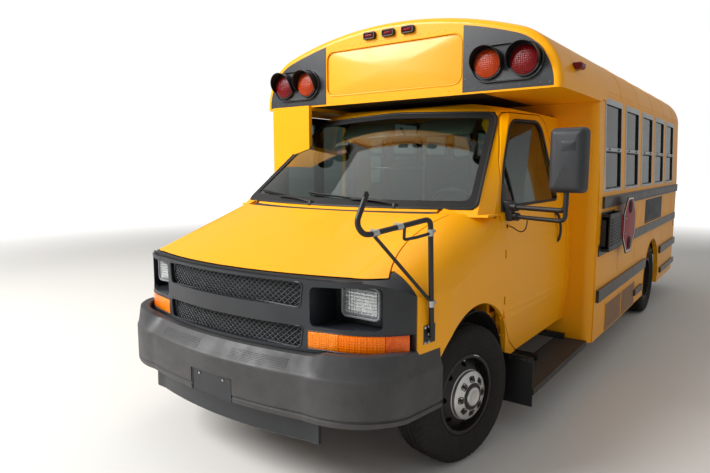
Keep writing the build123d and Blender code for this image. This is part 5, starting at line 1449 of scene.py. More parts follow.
@dataclass
class MirrorBracket:
    """The bracket of the missing front mirror: base plate, bent tube, braces and clamps."""

    radius: float = 12.0
    base_at: Point = (970.0, -467.0, 811.0)
    base_turn: float = -9.0       # degrees about +Z, as the fender turns there

    def clamp(self, at: Point, axis: Point) -> Surface:
        """A pressed clamp round a tube: a short sleeve carried along the tube's direction."""
        way = np.array(axis, float)
        way /= np.linalg.norm(way)
        up = np.array([0.3, 0.2, 0.9]) if abs(way[2]) < 0.9 else np.array([1.0, 0, 0])
        path = np.array(at, float) + way * np.array([-15, -14, 14, 15.0])[:, None]
        sleeve = carried(circle(self.radius + 3, 14), path, tuple(up))
        side = np.cross(way, up)
        side /= np.linalg.norm(side)
        ear = np.array(at, float) + side * np.array([self.radius, self.radius + 16.0])[:, None]
        return sleeve + carried(rounded_box(22, 12, 3, 3), ear, tuple(way))

    def build(self) -> None:
        """Makes the bracket's pieces."""
        main = tube([(985, -466, 796), (1012, -542, 1350), (885, -861, 1297), (885, -916, 1350),
                     (885, -848, 1459)], self.radius, 34, (0.6, 0.35, 0.2), 16)
        brace = tube([(993, -489, 965), (893, -799, 1290)], 8, 10, (1, 0.3, 0), 12)
        tie = tube([(960, -672, 1318), (938, -640, 1262), (972, -590, 1270), (1008, -545, 1284)], 7, 12,
                   (0.2, 0.1, 1), 10)
        eye = turned_profile([[-4, 16.0], [-3, 17], [3, 17], [4, 16]], Plane.LEFT, (885, -848, 1460), 18)
        bars = piece("bracket_tubes", main + brace + tie + eye, SATIN_BLACK, sharp=60)
        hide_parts("mirror_bracket")
        foot = boss(rounded_box(88, 90, 4, 3), [(0, -14), (0, 3), (1.5, 5), (3, 5)], Plane.LEFT)
        base = foot.turned("Z", self.base_turn).moved(*self.base_at)
        piece("bracket_base", base, SATIN_BLACK)
        bolt = turned_profile([[0, 8.0], [5, 8], [7, 6], [7.5, 2]], Plane.LEFT, sides=6)
        spots = np.array([[5, -36, 36], [5, -10, 38], [5, -36, -36], [5, -10, -36], [5, -10, 0]], float)
        bolts = bolt.repeated(spots).turned("Z", self.base_turn).moved(*self.base_at)
        piece("bracket_bolts", bolts, ZINC)
        upright, level = (0.05, -0.14, 1), (-0.37, -0.92, -0.15)
        places = (((993, -489, 960), upright), ((1009, -534, 1290), upright), ((905, -811, 1305), level),
                  ((950, -698, 1324), level))
        piece("bracket_clamps", joined(self.clamp(at, way) for at, way in places), ZINC)


@dataclass
class BodySides:
    """Windows in alloy frames, rivets, vents, seam strips, a patch and reflectors on the body's sides."""

    first: float = 1802.0         # front edge of the first window
    pitch: float = 708.0
    width: float = 541.0
    low: float = 1388.0
    high: float = 2073.0
    mid: float = 1705.0           # the rail between the two panes
    count: int = 5
    frame_w: float = 17.0
    vents: tuple[Pair, ...] = ((2010.0, 2560.0), (2600.0, 3150.0))                      # ends of the slats
    rivet_ends: Pair = (1650.0, 5570.0)
    rivet_rows: tuple[float, ...] = (2098.0, 2128.0, 1366.0, 1022.0, 884.0, 690.0)      # heights
    post_ends: Pair = (1390.0, 2070.0)                                                  # heights
    seams: tuple[float, ...] = (2390.0, 3098.0, 3806.0, 4514.0, 5222.0)
    strips: tuple[float, ...] = (2390.0, 3098.0, 4652.0, 5222.0)

    def band(self, y: Pair, z: Pair, rise: float, lean: bool = True, soft: float = 5.0) -> Surface:
        """A flat bar on the side between two lengths and two heights, with eased edges.

        Args:
            y: its front and rear ends.
            z: its lower and upper edges.
            rise: how far it stands out.
            lean: follows the side's lean above the sill.
            soft: radius of its corners.

        Returns:
            The closed bar.
        """
        ring = rounded_box(y[1] - y[0], z[1] - z[0], soft, 4) + [(y[0] + y[1]) / 2, (z[0] + z[1]) / 2]
        steps = [(0, -1.0), (0, rise - 1.0), (0.4, rise - 0.3), (1.2, rise)]
        rings = raised(ring, steps)
        foot = side_x(rings[..., 1]) if lean else np.full(rings.shape[:2], BODY_X)
        return stack(np.stack([foot + rings[..., 2], rings[..., 0], rings[..., 1]], -1))

    def bars(self, *sizes: tuple[Pair, Pair, float]) -> Surface:
        """Several leaning bars as one, each given by its ends, edges and rise."""
        return joined(self.band(*size) for size in sizes)

    def sash(self, start: float) -> tuple[Surface, Surface, Surface]:
        """One window: its aluminium frame, the pale rails across it and the rubber about the panes.

        Args:
            start: y of its front edge.

        Returns:
            The frame, the rails and the rubber.
        """
        end, low, high, mid = start + self.width, self.low, self.high, self.mid
        sides = self.bars(
            ((start - 3, start + self.frame_w), (low - 3, high + 3), 7.0),
            ((end - self.frame_w, end + 3), (low - 3, high + 3), 7.0),
            ((start, end), (low - 3, low + 16), 7.4), ((start, end), (high - 21, high + 3), 7.4))
        rails = self.bars(((start + 12, end - 12), (mid - 17, mid + 10), 7.6),
                          ((start + 14, end - 14), (high - 40, high - 19), 7.2))
        rubber = self.bars(
            ((start + 16, start + 25), (low + 12, high - 30), 1.5),
            ((end - 25, end - 16), (low + 12, high - 30), 1.5),
            ((start + 16, end - 16), (low + 14, low + 25), 1.6),
            ((start + 16, end - 16), (mid - 27, mid - 16), 6.8))
        return sides, rails, rubber

    def latches(self, start: float) -> Surface:
        """The two small latches on a window's mid rail."""
        edges = (self.mid - 10, self.mid + 4)
        return self.bars(*(((start + d, start + d + 40), edges, 12.0) for d in (95, 405)))

    def windows(self) -> None:
        """Makes every window's pieces on both sides."""
        starts = self.first + self.pitch * np.arange(self.count)
        frame_one, rails_one, rubber_one = self.sash(self.first)
        shifts = np.stack([np.zeros(self.count), starts - self.first, np.zeros(self.count)], -1)
        piece("window_frames_alloy", both_sides(frame_one.repeated(shifts)), ALUMINIUM)
        piece("window_rails", both_sides(rails_one.repeated(shifts)), ALUMINIUM)
        piece("window_rubbers", both_sides(rubber_one.repeated(shifts)), SEAL)
        latches = self.latches(self.first).repeated(shifts)
        piece("window_latches", both_sides(latches), SATIN_BLACK)

    def rivets(self) -> Surface:
        """Rivet rows along the roof's edge, the window posts, the sill and between the rails."""
        start, end = self.rivet_ends
        rows = []
        for z in self.rivet_rows:
            x = float(side_x(z)) + 0.2
            rows.append(row((x, start, z), (x, end, z), 62.0))
        low, high = (float(side_x(z)) + 0.2 for z in self.post_ends)
        for k in range(self.count + 1):
            middle = self.first - (self.pitch - self.width) / 2 + self.pitch * k
            for y in (middle - 34.0, middle + 34.0):
                rows.append(row((low, y, self.post_ends[0]), (high, y, self.post_ends[1]), 68.0))
        rows += [row((BODY_X + 0.2, y, 1010), (BODY_X + 0.2, y, 1300), 58.0) for y in self.seams]
        return rivet(Plane.LEFT, 5.0, 2.3).repeated(np.vstack(rows))

    def rail_bolts(self) -> Surface:
        """Round heads along the rails."""
        rows = [row((1200.0, 1790, z), (1200.0, 5570, z), 96.0) for z in (1276.0, 1336.0)]
        return rivet(Plane.LEFT, 6.5, 2.6).repeated(np.vstack(rows))

    def louvres(self) -> Surface:
        """Two vent panels low in the skirt: rows of half-open slats."""
        slat = np.array([[-1.0, -9], [6.5, -8], [8, -5], [2, 8], [-1, 9]]) + [BODY_X, 0]
        slats = []
        for y0, y1 in self.vents:
            along = np.array([y0, y0 + 8, y1 - 8, y1])[:, None]
            for z in np.arange(282.0, 486.0, 22.0):
                rings = np.stack(np.broadcast_arrays(slat[:, 0], along, slat[:, 1] + z), -1)
                slats.append(stack(rings[::-1]))
        return joined(slats)

    def louvre_frames(self) -> Surface:
        """The flat frames round the vent panels."""
        bars = []
        for y0, y1 in self.vents:
            front, rear = y0 - 14, y1 + 14
            bars += [self.band((front, rear), (262, 272), 4, False),
                     self.band((front, rear), (487, 499), 4, False),
                     self.band((front, front + 13), (262, 499), 4.2, False),
                     self.band((rear - 13, rear), (262, 499), 4.2, False)]
        return joined(bars)

    def patch(self) -> Surface:
        """The dark grey patch where a panel was painted over, bordered by a thin step."""
        return self.band((3512, 4507), (1006, 1244), 1.2, False, 8)

    def skirt_seams(self) -> Surface:
        """Narrow overlapping strips where the skirt's sheets meet."""
        return joined(self.band((y - 22, y + 22), (700, 1236), 1.6, False, 2) for y in self.strips)

    def reflectors(self) -> Surface:
        """The round reflector below the last window."""
        disc = turned_profile([[-2, 36.0], [3, 36], [5, 33], [6, 20]], Plane.LEFT, sides=28)
        return disc.repeated(np.array([[BODY_X, 5500, 860]]))

    def build(self) -> None:
        """Makes the sides' pieces."""
        self.windows()
        piece("side_rivets", both_sides(self.rivets()), YELLOW)
        piece("rail_rivets", both_sides(self.rail_bolts()), BLACK_ENAMEL)
        piece("vent_louvres", self.louvres(), BROWN_VENT)
        piece("vent_frames", self.louvre_frames(), YELLOW)
        piece("grey_patch", self.patch(), PATCH_GREY)
        piece("skirt_strips", both_sides(self.skirt_seams()), YELLOW)
        piece("side_reflectors", both_sides(self.reflectors()), REFLECTOR)


@dataclass
class StopArm:
    """The stop arm: a louvred housing and a blank eight-sided sign with a white border and two lamps."""

    face: float = 1192.0
    sign_y: float = 2400.0
    sign_z: float = 1096.0
    flats: float = 457.0
    sign_out: float = 66.0        # from the face to the sign's sheet
    cover_at: Pair = (1955.0, 1081.5)

    def octagon(self, flats: float) -> Array:
        """A regular eight-sided ring: corners at 22.5 degrees and every 45 after, on the circle round it."""
        turn = radians(22.5) + np.arange(8) * pi / 4
        return flats / 2 / cos(pi / 8) * unit(turn)

    def housing(self) -> Surface:
        """The housing's moulded cover over its mechanism, with rounded edges."""
        ring = rounded_box(390, 283, 22, 6)
        cover = boss(ring, [(0, -8), (0, 44), (3, 51), (9, 54), (22, 54.5)], Plane.LEFT)
        return cover.moved(self.face, *self.cover_at)

    def louvres(self) -> Surface:
        """Slanting slats on the cover's face."""
        slat = boss(rounded_box(300, 11, 4, 3), [(0, 0), (0, 3), (1.5, 6), (3, 7)], Plane.LEFT)
        z = np.arange(985.0, 1190.0, 24.0)
        places = np.stack([np.full_like(z, self.face + 54), np.full_like(z, self.cover_at[0]), z], -1)
        return slat.repeated(places)

    def flange(self) -> Surface:
        """The back plate round the housing."""
        return plate(414, 306, 6, Plane.LEFT, (self.face - 7, *self.cover_at), 16, 1.5)

    def sheet_at(self, up: float = 0.0, back: float = 0.0) -> Point:
        """A place on the sign's sheet, so far up and back from its middle."""
        return (self.face + self.sign_out, self.sign_y + back, self.sign_z + up)

    def edging(self, flats: float, steps: list[Pair]) -> Surface:
        """An eight-sided band about the sign: one ring for each (inset, height) step, joined into a loop."""
        rings = raised(self.octagon(flats), steps)[::-1]
        return grid(facing(Plane.LEFT, rings, self.sheet_at()), close_u=True, close_v=True)

    def field(self) -> Surface:
        """The red field, left blank."""
        return boss(self.octagon(self.flats - 36), [(0, 0), (0, 0.6), (1, 0.8)], Plane.LEFT, self.sheet_at())

    def lamps(self) -> tuple[Surface, Surface]:
        """Two domed lamps with their black rings, at the sign's top and bottom."""
        lens = turned_profile([[0, 46], [5, 46], [12, 42], [17, 32], [20, 14]], Plane.LEFT, sides=28)
        ring = arc_bar(np.array([[46.0, 0], [54, 0], [54, 6], [51, 9], [46, 9]]), np.linspace(0, 2 * pi, 29),
                       Plane.LEFT)
        places = np.array([self.sheet_at(up) for up in (150.0, -150.0)])
        return lens.repeated(places), ring.repeated(places)

    def bolts(self) -> Surface:
        """The bolts that hold the sign's brackets."""
        bolt = turned_profile([[0, 7.0], [5, 7], [7, 5]], Plane.LEFT, sides=6)
        places = [self.sheet_at(up, back) for back in (-190.0, -150.0) for up in (62.0, -62.0)]
        return bolt.repeated(np.array(places))

    def build(self) -> None:
        """Makes the stop arm's pieces."""
        piece("stop_arm_cover", self.housing(), FASCIA_PLASTIC)
        piece("stop_arm_louvres", self.louvres(), FASCIA_PLASTIC)
        piece("stop_arm_flange", self.flange(), SATIN_BLACK)
        rim = self.edging(self.flats + 2, [(0, -9), (0, 1.6), (3, 1.6), (3, -9)])
        piece("sign_edge", rim, SATIN_BLACK, Body.STOP_ARM)
        border = self.edging(self.flats - 10, [(0, 0), (0, 0.8), (13, 0.8), (13, 0)])
        piece("sign_white_border", border, SIGN_WHITE, Body.STOP_ARM)
        piece("sign_red_field", self.field(), SIGN_RED, Body.STOP_ARM)
        lenses, rings = self.lamps()
        piece("sign_lamps", lenses, RED, Body.STOP_ARM)
        piece("sign_lamp_rings", rings, SATIN_BLACK, Body.STOP_ARM)
        piece("sign_bolts", self.bolts(), ZINC, Body.STOP_ARM)


@dataclass
class Rear:
    """The rear wall's lamps, rivets, window rubbers, door handle and the bumper's edges."""

    wall_y: float = 5600.0
    tail_z: float = 1050.0
    cluster_z: float = 2466.0
    cap: FrontCap = field(default_factory=FrontCap)       # its lamps are made again on this wall

    def to_back(self, shape: Surface) -> Surface:
        """A piece of the front cap turned about the upright axis so that it stands on the rear wall."""
        return shape.moved(y=-self.cap.face_y).turned("Z", 180).moved(y=self.wall_y)

    def tail_lamp(self, x: float, radius: float) -> tuple[Surface, Surface]:
        """A round tail lamp: its black ring and its domed lens."""
        r, at = radius - 6, (x, self.wall_y, self.tail_z)
        lens = [[0, r], [22, r], [30, r - 4], [36, radius * 0.6], [38, radius * 0.3]]
        dome = turned_profile(lens, Plane.BACK, at, 36)
        wall = np.array([[r, 0.0], [r + 9, 0], [r + 9, 22], [r + 6, 26], [r, 26]])
        return arc_bar(wall, np.linspace(0, 2 * pi, 37), Plane.BACK, at), dome

    def rubber(self, x: float, z: float, width: float, height: float, corner: float) -> Surface:
        """The rubber carried round a window of the rear."""
        ring = rounded_box(width, height, corner, 6)
        return bead(ring, circle(1, 10) * [6, 12], Plane.BACK, (x, self.wall_y - 2, z))

    def handle(self) -> Surface:
        """The emergency door's lever over its plate."""
        back = plate(64, 96, 5, Plane.BACK, (320, self.wall_y, 1350), 10, 1.5)
        lever = tube([(320, 5604, 1350), (320, 5640, 1350), (310, 5648, 1350), (170, 5648, 1330)], 9, 12,
                     (0.2, 0.1, 1), 12)
        return back + lever

    def rivets(self) -> Surface:
        """Rivets round the rear wall's edge and over the door."""
        y = self.wall_y - 0.2
        rows = [row((-1120, y, 680), (-520, y, 680), 62), row((520, y, 680), (1120, y, 680), 62),
                row((-1150, y, 700), (-1150, y, 2060), 64), row((1150, y, 700), (1150, y, 2060), 64),
                row((-1120, y, 1300), (-540, y, 1300), 62), row((540, y, 1300), (1120, y, 1300), 62),
                row((-1060, y, 2060), (1060, y, 2060), 62)]
        return rivet(Plane.BACK, 5.0, 2.3).repeated(np.vstack(rows))

    def bumper_ends(self) -> Surface:
        """The rolled edges along the rear bumper's top and bottom."""
        line = np.array([[-1148, 5712, 0], [-1100, 5713, 0], [1100, 5713, 0], [1148, 5712, 0]], float)
        return joined(carried(circle(6, 10), line + [0, 0, z]) for z in (424.0, 616.0))

    def build(self) -> None:
        """Makes the rear's pieces."""
        self.cap.warning_lamps("rear", self.to_back)
        inner_x, outer_x = self.cap.lamp_x
        small_ring, small = self.tail_lamp(inner_x, 60)
        large_ring, large = self.tail_lamp(outer_x, 80)
        piece("tail_lamp_rings", both_sides(small_ring + large_ring), SATIN_BLACK)
        piece("turn_lamps_rear", both_sides(small), AMBER)
        piece("brake_lamps", both_sides(large), RED)
        self.cap.clusters("rear", Plane.BACK, self.wall_y, self.cluster_z)
        windows = both_sides(self.rubber(810, 1700, 420, 500, 40))
        piece("rear_window_rubbers", windows, SEAL)
        panes = self.rubber(0, 1675, 800, 450, 40) + self.rubber(0, 1025, 800, 450, 40)
        piece("rear_door_rubbers", panes, SEAL, Body.REAR_DOOR)
        piece("rear_door_handle", self.handle(), SATIN_BLACK, Body.REAR_DOOR)
        piece("rear_rivets", self.rivets(), YELLOW)
        piece("rear_bumper_edges", self.bumper_ends(), BLACK_ENAMEL)


@dataclass
class Bench:
    """One two-place bench: a crowned cushion, a tall crowned back, piping at their seams, and its legs."""

    width: float = 932.0
    deep: float = 410.0
    high: float = 106.0
    back_high: float = 600.0
    back_thick: float = 78.0
    crown: float = 13.0
    pull: float = 7.0
    bulge: float = 10.0

    def cushion(self, width: float, deep: float, high: float) -> Surface:
        """A cushion: boxed rings that pull in between corners, crowned by a product of two parabolas.

        z = step height + crown (1 - (x/a)^2)(1 - (y/b)^2) on the upper half, and each side is drawn in by
        pull (1 - (x/a)^2) or pull (1 - (y/b)^2) halfway up.
        """
        steps = [(18, 0.0), (5, 5.0), (0, 18), (0, high * 0.55), (3, high * 0.62), (0, high * 0.68),
                 (8, high * 0.88), (24, high * 0.97), (60, high), (110, high), (165, high)]
        made = boxed(width, deep, 42, steps, Plane.TOP)
        x, y, z = made.points.T
        a, b = width / 2, deep / 2
        rise = np.clip(z / high - 0.3, 0, 1) * self.crown * (1 - (x / a) ** 2) * (1 - (y / b) ** 2)
        pull = self.pull * np.sin(pi * np.clip(z / high, 0, 1))
        points = np.stack([x - np.sign(x) * (np.abs(x) > a * 0.9) * pull * (1 - (y / b) ** 2),
                           y - np.sign(y) * (np.abs(y) > b * 0.85) * pull * (1 - (x / a) ** 2), z + rise], -1)
        return Surface(points, made.quads, made.tris)

    def back(self, width: float, high: float, thick: float) -> Surface:
        """A back rest: boxed rings standing up, crowned on both faces by a product of two parabolas."""
        half = thick / 2
        steps = [(150, -half), (60, -half), (20, -half * 0.92), (5, -half * 0.6), (0, -half * 0.15), (2, 0.0),
                 (0, half * 0.15), (5, half * 0.6), (20, half * 0.92), (60, half), (150, half)]
        made = boxed(width, high, 75, steps, Plane.FRONT)
        x, y, z = made.points.T
        crown = (1 - (2 * x / width) ** 2) * (1 - (2 * z / high) ** 2)
        bulge = self.bulge * crown * np.sign(y) * (np.abs(y) > half * 0.5)
        return Surface(np.stack([x, y + bulge, z], -1), made.quads, made.tris)

    def piping(self, width: float, high: float, corner: float, plane: Plane, shift: float) -> Surface:
        """The welt sewn round a seam: a thin cord carried round a boxed ring."""
        return bead(rounded_box(width, high, corner, 8), circle(4, 6), plane, level=shift)

    def legs(self, drop: float) -> Surface:
        """The aisle leg: a bent tube frame with a foot plate, and the seat's frame tube."""
        loop = tube([(-150, -150, 0), (-150, -150, -drop), (-150, 190, -drop), (-150, 190, 0)], 14, 40,
                    (1, 0, 0), 10)
        foot = plate(60, 380, 6, Plane.TOP, (-150, 20, -drop - 14), 8, 1.5)
        frame_tube = tube([(-430, -180, -10), (430, -180, -10)], 12, 5, (0, 0, 1), 10)
        return loop + foot + frame_tube + frame_tube.moved(y=350)


@dataclass
class Cabin:
    """The seats in their rows, the driver's seat, and what shows round the dash."""

    first: float = 1980.0
    pitch: float = 700.0
    rows: int = 5
    middle_x: float = 660.0
    floor_z: float = 690.0
    seat_z: float = 1048.0
    arch_half: float = 450.0      # half the length of a wheel housing
    bench: Bench = field(default_factory=Bench)

    def padded(self, name: str, surface: Surface) -> bpy.types.Object:
        """Makes a padded piece of vinyl, smoothed once."""
        made = piece(name, surface, SEAT_VINYL, sharp=80)
        smooth = made.modifiers.new("soft", "SUBSURF")
        smooth.levels = smooth.render_levels = 1
        return made

    def benches(self) -> None:
        """Two benches in every row, each with its own cushion and back."""
        one = self.bench
        cushion = one.cushion(one.width, one.deep, one.high)
        cushion = cushion + one.piping(one.width - 2, one.deep - 2, 42, Plane.TOP, one.high * 0.62)
        back = one.back(one.width, one.back_high, one.back_thick).turned("X", -4)
        welt = one.piping(one.width - 1, one.back_high - 1, 75, Plane.FRONT, 0.0).turned("X", -4)
        back = back + welt
        legs = []
        for k in range(self.rows):
            y = self.first + k * self.pitch
            over_wheel = WHEELBASE - self.arch_half < y + 420 and y + 60 < WHEELBASE + self.arch_half
            for side, x in (("left", self.middle_x), ("right", -self.middle_x)):
                low = cushion.moved(x, y + 205, self.seat_z)
                seat = self.padded(f"bench_cushion_{side}_{k + 1}", low)
                rest = back.moved(x, y + 440, self.seat_z + 312)
                self.padded(f"bench_back_{side}_{k + 1}", rest)
                if k == 0 and side == "left":
                    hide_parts("seats")
            drop = self.seat_z - self.floor_z - 14
            legs.append(both_sides(one.legs(drop).moved(self.middle_x, y + 205, self.seat_z)))
            if over_wheel:
                legs.append(both_sides(plate(40, 380, 180, Plane.TOP, (1060, y + 225, 862), 8, 1.5)))
        piece("bench_legs", joined(legs), SATIN_BLACK)

    def driver_seat(self) -> None:
        """The driver's high-backed seat on its pedestal."""
        one = self.bench
        self.padded("driver_cushion", one.cushion(450, 440, 112).moved(555, 1222, 1040))
        back = one.back(440, 740, 96).turned("X", -6).moved(555, 1490, 1440)
        self.padded("driver_back", back)
        steps = [(-40, 0), (-40, 12), (-6, 22), (0, 60), (0, 330), (-50, 346)]
        base = boss(rounded_box(300, 320, 30, 5), steps, Plane.TOP, (555, 1240, 692))
        piece("driver_pedestal", base, SATIN_BLACK)
        rail = tube([(395, 1010, 1048), (395, 1440, 1048)], 10, 5, (0, 0, 1), 10)
        piece("driver_seat_rails", rail + rail.moved(x=320), ZINC)

    def stanchions(self) -> Surface:
        """The rails and posts beside the entrance and behind the driver."""
        post = tube([(-300, 1700, 692), (-300, 1700, 1960)], 15, 5, (1, 0, 0), 12)
        bar = tube([(-300, 1700, 1560), (-880, 1700, 1560)], 12, 5, (0, 1, 0), 10)
        other = tube([(290, 1690, 692), (290, 1690, 1960)], 15, 5, (1, 0, 0), 12)
        rail = tube([(290, 1690, 1560), (1080, 1690, 1560)], 12, 5, (0, 1, 0), 10)
        return post + bar + bar.moved(z=-420) + other + rail + rail.moved(z=-420)

    def dash_details(self) -> None:
        """The dash's hooded cluster, its pads and the steering wheel's boss."""
        hood = boxed(360, 110, 40, [(0, 0), (2, 22), (10, 36), (34, 42)], Plane.TOP, (480, 505, 1282))
        piece("dash_hood", hood, DASH_PLASTIC)
        pad = boxed(620, 190, 60, [(0, 0), (2, 8), (10, 16), (30, 20), (60, 21)], Plane.TOP,
                    (-330, 455, 1282))
        piece("dash_top_pad", pad, DASH_PLASTIC)
        button = boxed(120, 90, 30, [(0, 0), (2, 14), (12, 22), (30, 25)], Plane.TOP)
        centre = button.turned("X", -62).moved(480, 798, 1264)
        piece("steering_wheel_pad", centre, SATIN_BLACK)

    def build(self) -> None:
        """Makes the cabin's pieces."""
        self.benches()
        self.driver_seat()
        piece("grab_rails", self.stanchions(), ALUMINIUM)
        self.dash_details()


@dataclass
class Steps:
    """The running board's treads and edge, the mud flap's bar, the front liners and the rear arches' lips."""

    def treads(self) -> Surface:
        """Raised ribs along the running board's top."""
        rib = plate(7, 1120, 2.6, Plane.TOP, (0, 1041, 279.4), 2, 0.8)
        x = np.arange(946.0, 1146.0, 16.0)
        return rib.repeated(np.stack([x, np.zeros_like(x), np.zeros_like(x)], -1))

    def edge(self) -> Surface:
        """The rolled outer edge of the running board."""
        wall = rounded_box(12, 40, 5, 3)
        line = np.array([[1149, 466, 262], [1149, 480, 262], [1149, 1600, 262], [1149, 1616, 262]], float)
        return carried(wall, line, (0, 0, 1))

    def flap_bolts(self) -> Surface:
        """The light bolts and the stiffening bar on the mud flap."""
        bolt = turned_profile([[0, 8.0], [4, 8], [6, 6]], Plane.FRONT, (0, 455, 0), 8)
        bar = plate(204, 26, 4, Plane.FRONT, (1040, 455, 452), 5, 1.2)
        x = np.array([960.0, 1010, 1070, 1120])
        return bar + bolt.repeated(np.stack([x, np.full(4, -4.0), np.full(4, 452.0)], -1))

    def liner(self) -> Surface:
        """The black liner in the front arch: a thin wall swept about the axle's line."""
        turn = np.linspace(radians(16), radians(150), 30)
        wall = np.array([[436.0, -300], [440, -300], [440, 84], [436, 84]])
        return arc_bar(wall, turn, Plane.LEFT, (886, 0, TYRE_R))

    def arch_lip(self, middle_y: float, radius: float, x: float, angles: Pair) -> Surface:
        """A rolled lip round a wheel arch: a small round profile swept about the wheel's middle."""
        turn = np.linspace(radians(angles[0]), radians(angles[1]), 40)
        profile = circle(5, 8) + [radius, 0]
        return arc_bar(profile, turn, Plane.LEFT, (x, middle_y, TYRE_R))

    def build(self) -> None:
        """Makes the pieces at the step and in the arches."""
        piece("step_treads", self.treads(), FLOOR_RUBBER)
        piece("step_edge", self.edge(), SATIN_BLACK)
        piece("flap_bar", self.flap_bolts(), SATIN_BLACK)
        piece("arch_liners", both_sides(self.liner()), DEEP_BLACK)
        lip = self.arch_lip(WHEELBASE, 434, BODY_X, (-6, 186))
        piece("rear_arch_lips", both_sides(lip), YELLOW)


@dataclass
class Roof:
    """Sheet seams and their rivets over the roof."""

    shoulder: Pair = (920.0, 2412.0)
    crown_z: float = 2548.0
    corner_r: float = 335.0
    joints: tuple[float, ...] = (2356.0, 3064.0, 3772.0, 4480.0, 5188.0)      # middles of the sheets' laps

    def section(self, out: float = 0.0, per_arc: int = 14) -> Array:
        """The roof's line in (x, z) from the driver's side over to the other: shoulder arcs and crown."""
        drop = self.crown_z - self.shoulder[1]
        crown_r = (self.shoulder[0] ** 2 + drop ** 2) / (2 * drop)
        tilt = self.shoulder[0] / crown_r
        middle = np.array([self.shoulder[0] - self.corner_r * tilt,
                           self.shoulder[1] - self.corner_r * np.sqrt(1 - tilt ** 2)])
        start = 0.05
        end = np.arctan2(np.sqrt(1 - tilt ** 2), tilt)
        turn = np.linspace(start, end, per_arc)
        corner = middle + (self.corner_r + out) * unit(turn)
        x = np.linspace(self.shoulder[0], 0, per_arc)[1:]
        top = np.stack([x, self.crown_z - crown_r + np.sqrt((crown_r + out) ** 2 - x ** 2)], -1)
        half = np.vstack([corner, top])
        return np.vstack([half, half[-2::-1] * [-1, 1]])

    def seam(self, y: float, width: float) -> Surface:
        """One strip over the roof where two sheets overlap: a thin wall with eased edges."""
        inner, outer = self.section(-2.0), self.section(1.8)
        loops = [(inner, -width / 2), (outer, -width / 2 + 1), (outer, width / 2 - 1), (inner, width / 2)]
        rings = np.stack([np.column_stack([line[:, 0], np.full(len(line), y + shift), line[:, 1]])
                          for line, shift in loops], 1)
        return stack(rings)

    def rivets(self) -> Surface:
        """Small rivets along each seam, standing on the roof's line."""
        x, z = self.section(0.2, 22)[6:-6].T
        dome = turned_profile([[0, 5.5], [1.6, 4.4], [2.3, 2]], Plane.TOP, sides=6)
        return joined(dome.repeated(np.column_stack([x, np.full(len(x), y + shift), z]))
                      for y in self.joints for shift in (-26.0, 26.0))

    def build(self) -> None:
        """Makes the roof's pieces."""
        piece("roof_seams", joined(self.seam(y, 78) for y in self.joints), YELLOW)
        piece("roof_rivets", self.rivets(), YELLOW)


@dataclass
class Tyre:
    """A radial tyre: its section turned about the axle, with grooves sunk into the tread."""

    radius: float = 372.0
    half_tread: float = 72.0
    lugs: int = 60
    columns: int = 300
    grooves: Pair = (47.5, 16.5)      # middles of the grooves, out from the tyre's middle
    groove_half: float = 5.2
    groove_deep: float = 9.0
    lug_deep: float = 6.5
    sipe_deep: float = 3.0

    def section(self) -> Array:
        """The outer half section from the bead to the tread's edge in (offset, radius)."""
        return np.array([
            [84, 206], [86, 218], [95, 220], [101, 228], [104, 238], [105.6, 240], [107.5, 250], [109.4, 262],
            [111.4, 264], [111.5, 284], [110.8, 305], [108.6, 322], [109.6, 324], [106.5, 338], [101, 349],
            [94, 358], [86, 364.5], [79, 368.6],
        ], float)

    def surface(self, middle: float = 0.0) -> Surface:
        """The closed tyre: point = (w, r cos t, r sin t) with r lowered where a groove runs.

        Four grooves run round it, the outer ribs are cut by lugs at equal turns and the middle ribs by
        slanting sipes.

        Args:
            middle: the tyre's middle, in millimetres along the axle.

        Returns:
            The tyre about the x axis.
        """
        wall = self.section()
        across = np.array([71, 60, 52.5, 51, 44, 42.5, 34, 26, 21.5, 20, 13, 11.5, 6, 0], float)
        tread = np.stack([across, self.radius - 1.8 * (across / self.half_tread) ** 2], -1)
        outer = np.vstack([wall, tread])
        inner_side = outer[:-1][::-1] * [-1, 1]
        inside = np.array([[-70, 222], [-96, 285], [-70, 340], [70, 340], [96, 285], [70, 222]], float)
        loop = np.vstack([outer, inner_side, inside])
        turn = np.arange(self.columns) * 2 * pi / self.columns
        w = np.broadcast_to(loop[:, :1], (len(loop), self.columns))
        r = np.broadcast_to(loop[:, 1:], (len(loop), self.columns)).copy()
        on_tread = (r[:, :1] > 368) | ((r[:, :1] > 340.5) & (np.abs(w[:, :1]) > 78))
        outer_ring, inner_ring = (np.abs(np.abs(w) - at) < self.groove_half for at in self.grooves)
        ring = outer_ring | inner_ring
        phase = (turn[None] * self.lugs / (2 * pi) + w / 26.0) % 1.0
        shoulder = (np.abs(w) > 53) & (phase < 0.25)
        sipe = (np.abs(w) < 43) & (phase < 0.2) & ~ring
        depth = ring * self.groove_deep + shoulder * self.lug_deep + sipe * self.sipe_deep
        fade = np.clip((r - 344) / 14, 0, 1)
        r -= np.where(on_tread, depth * fade, 0)
        points = np.stack([w + middle, r * np.cos(turn), r * np.sin(turn)], -1)
        return grid(points, close_u=True, close_v=True)


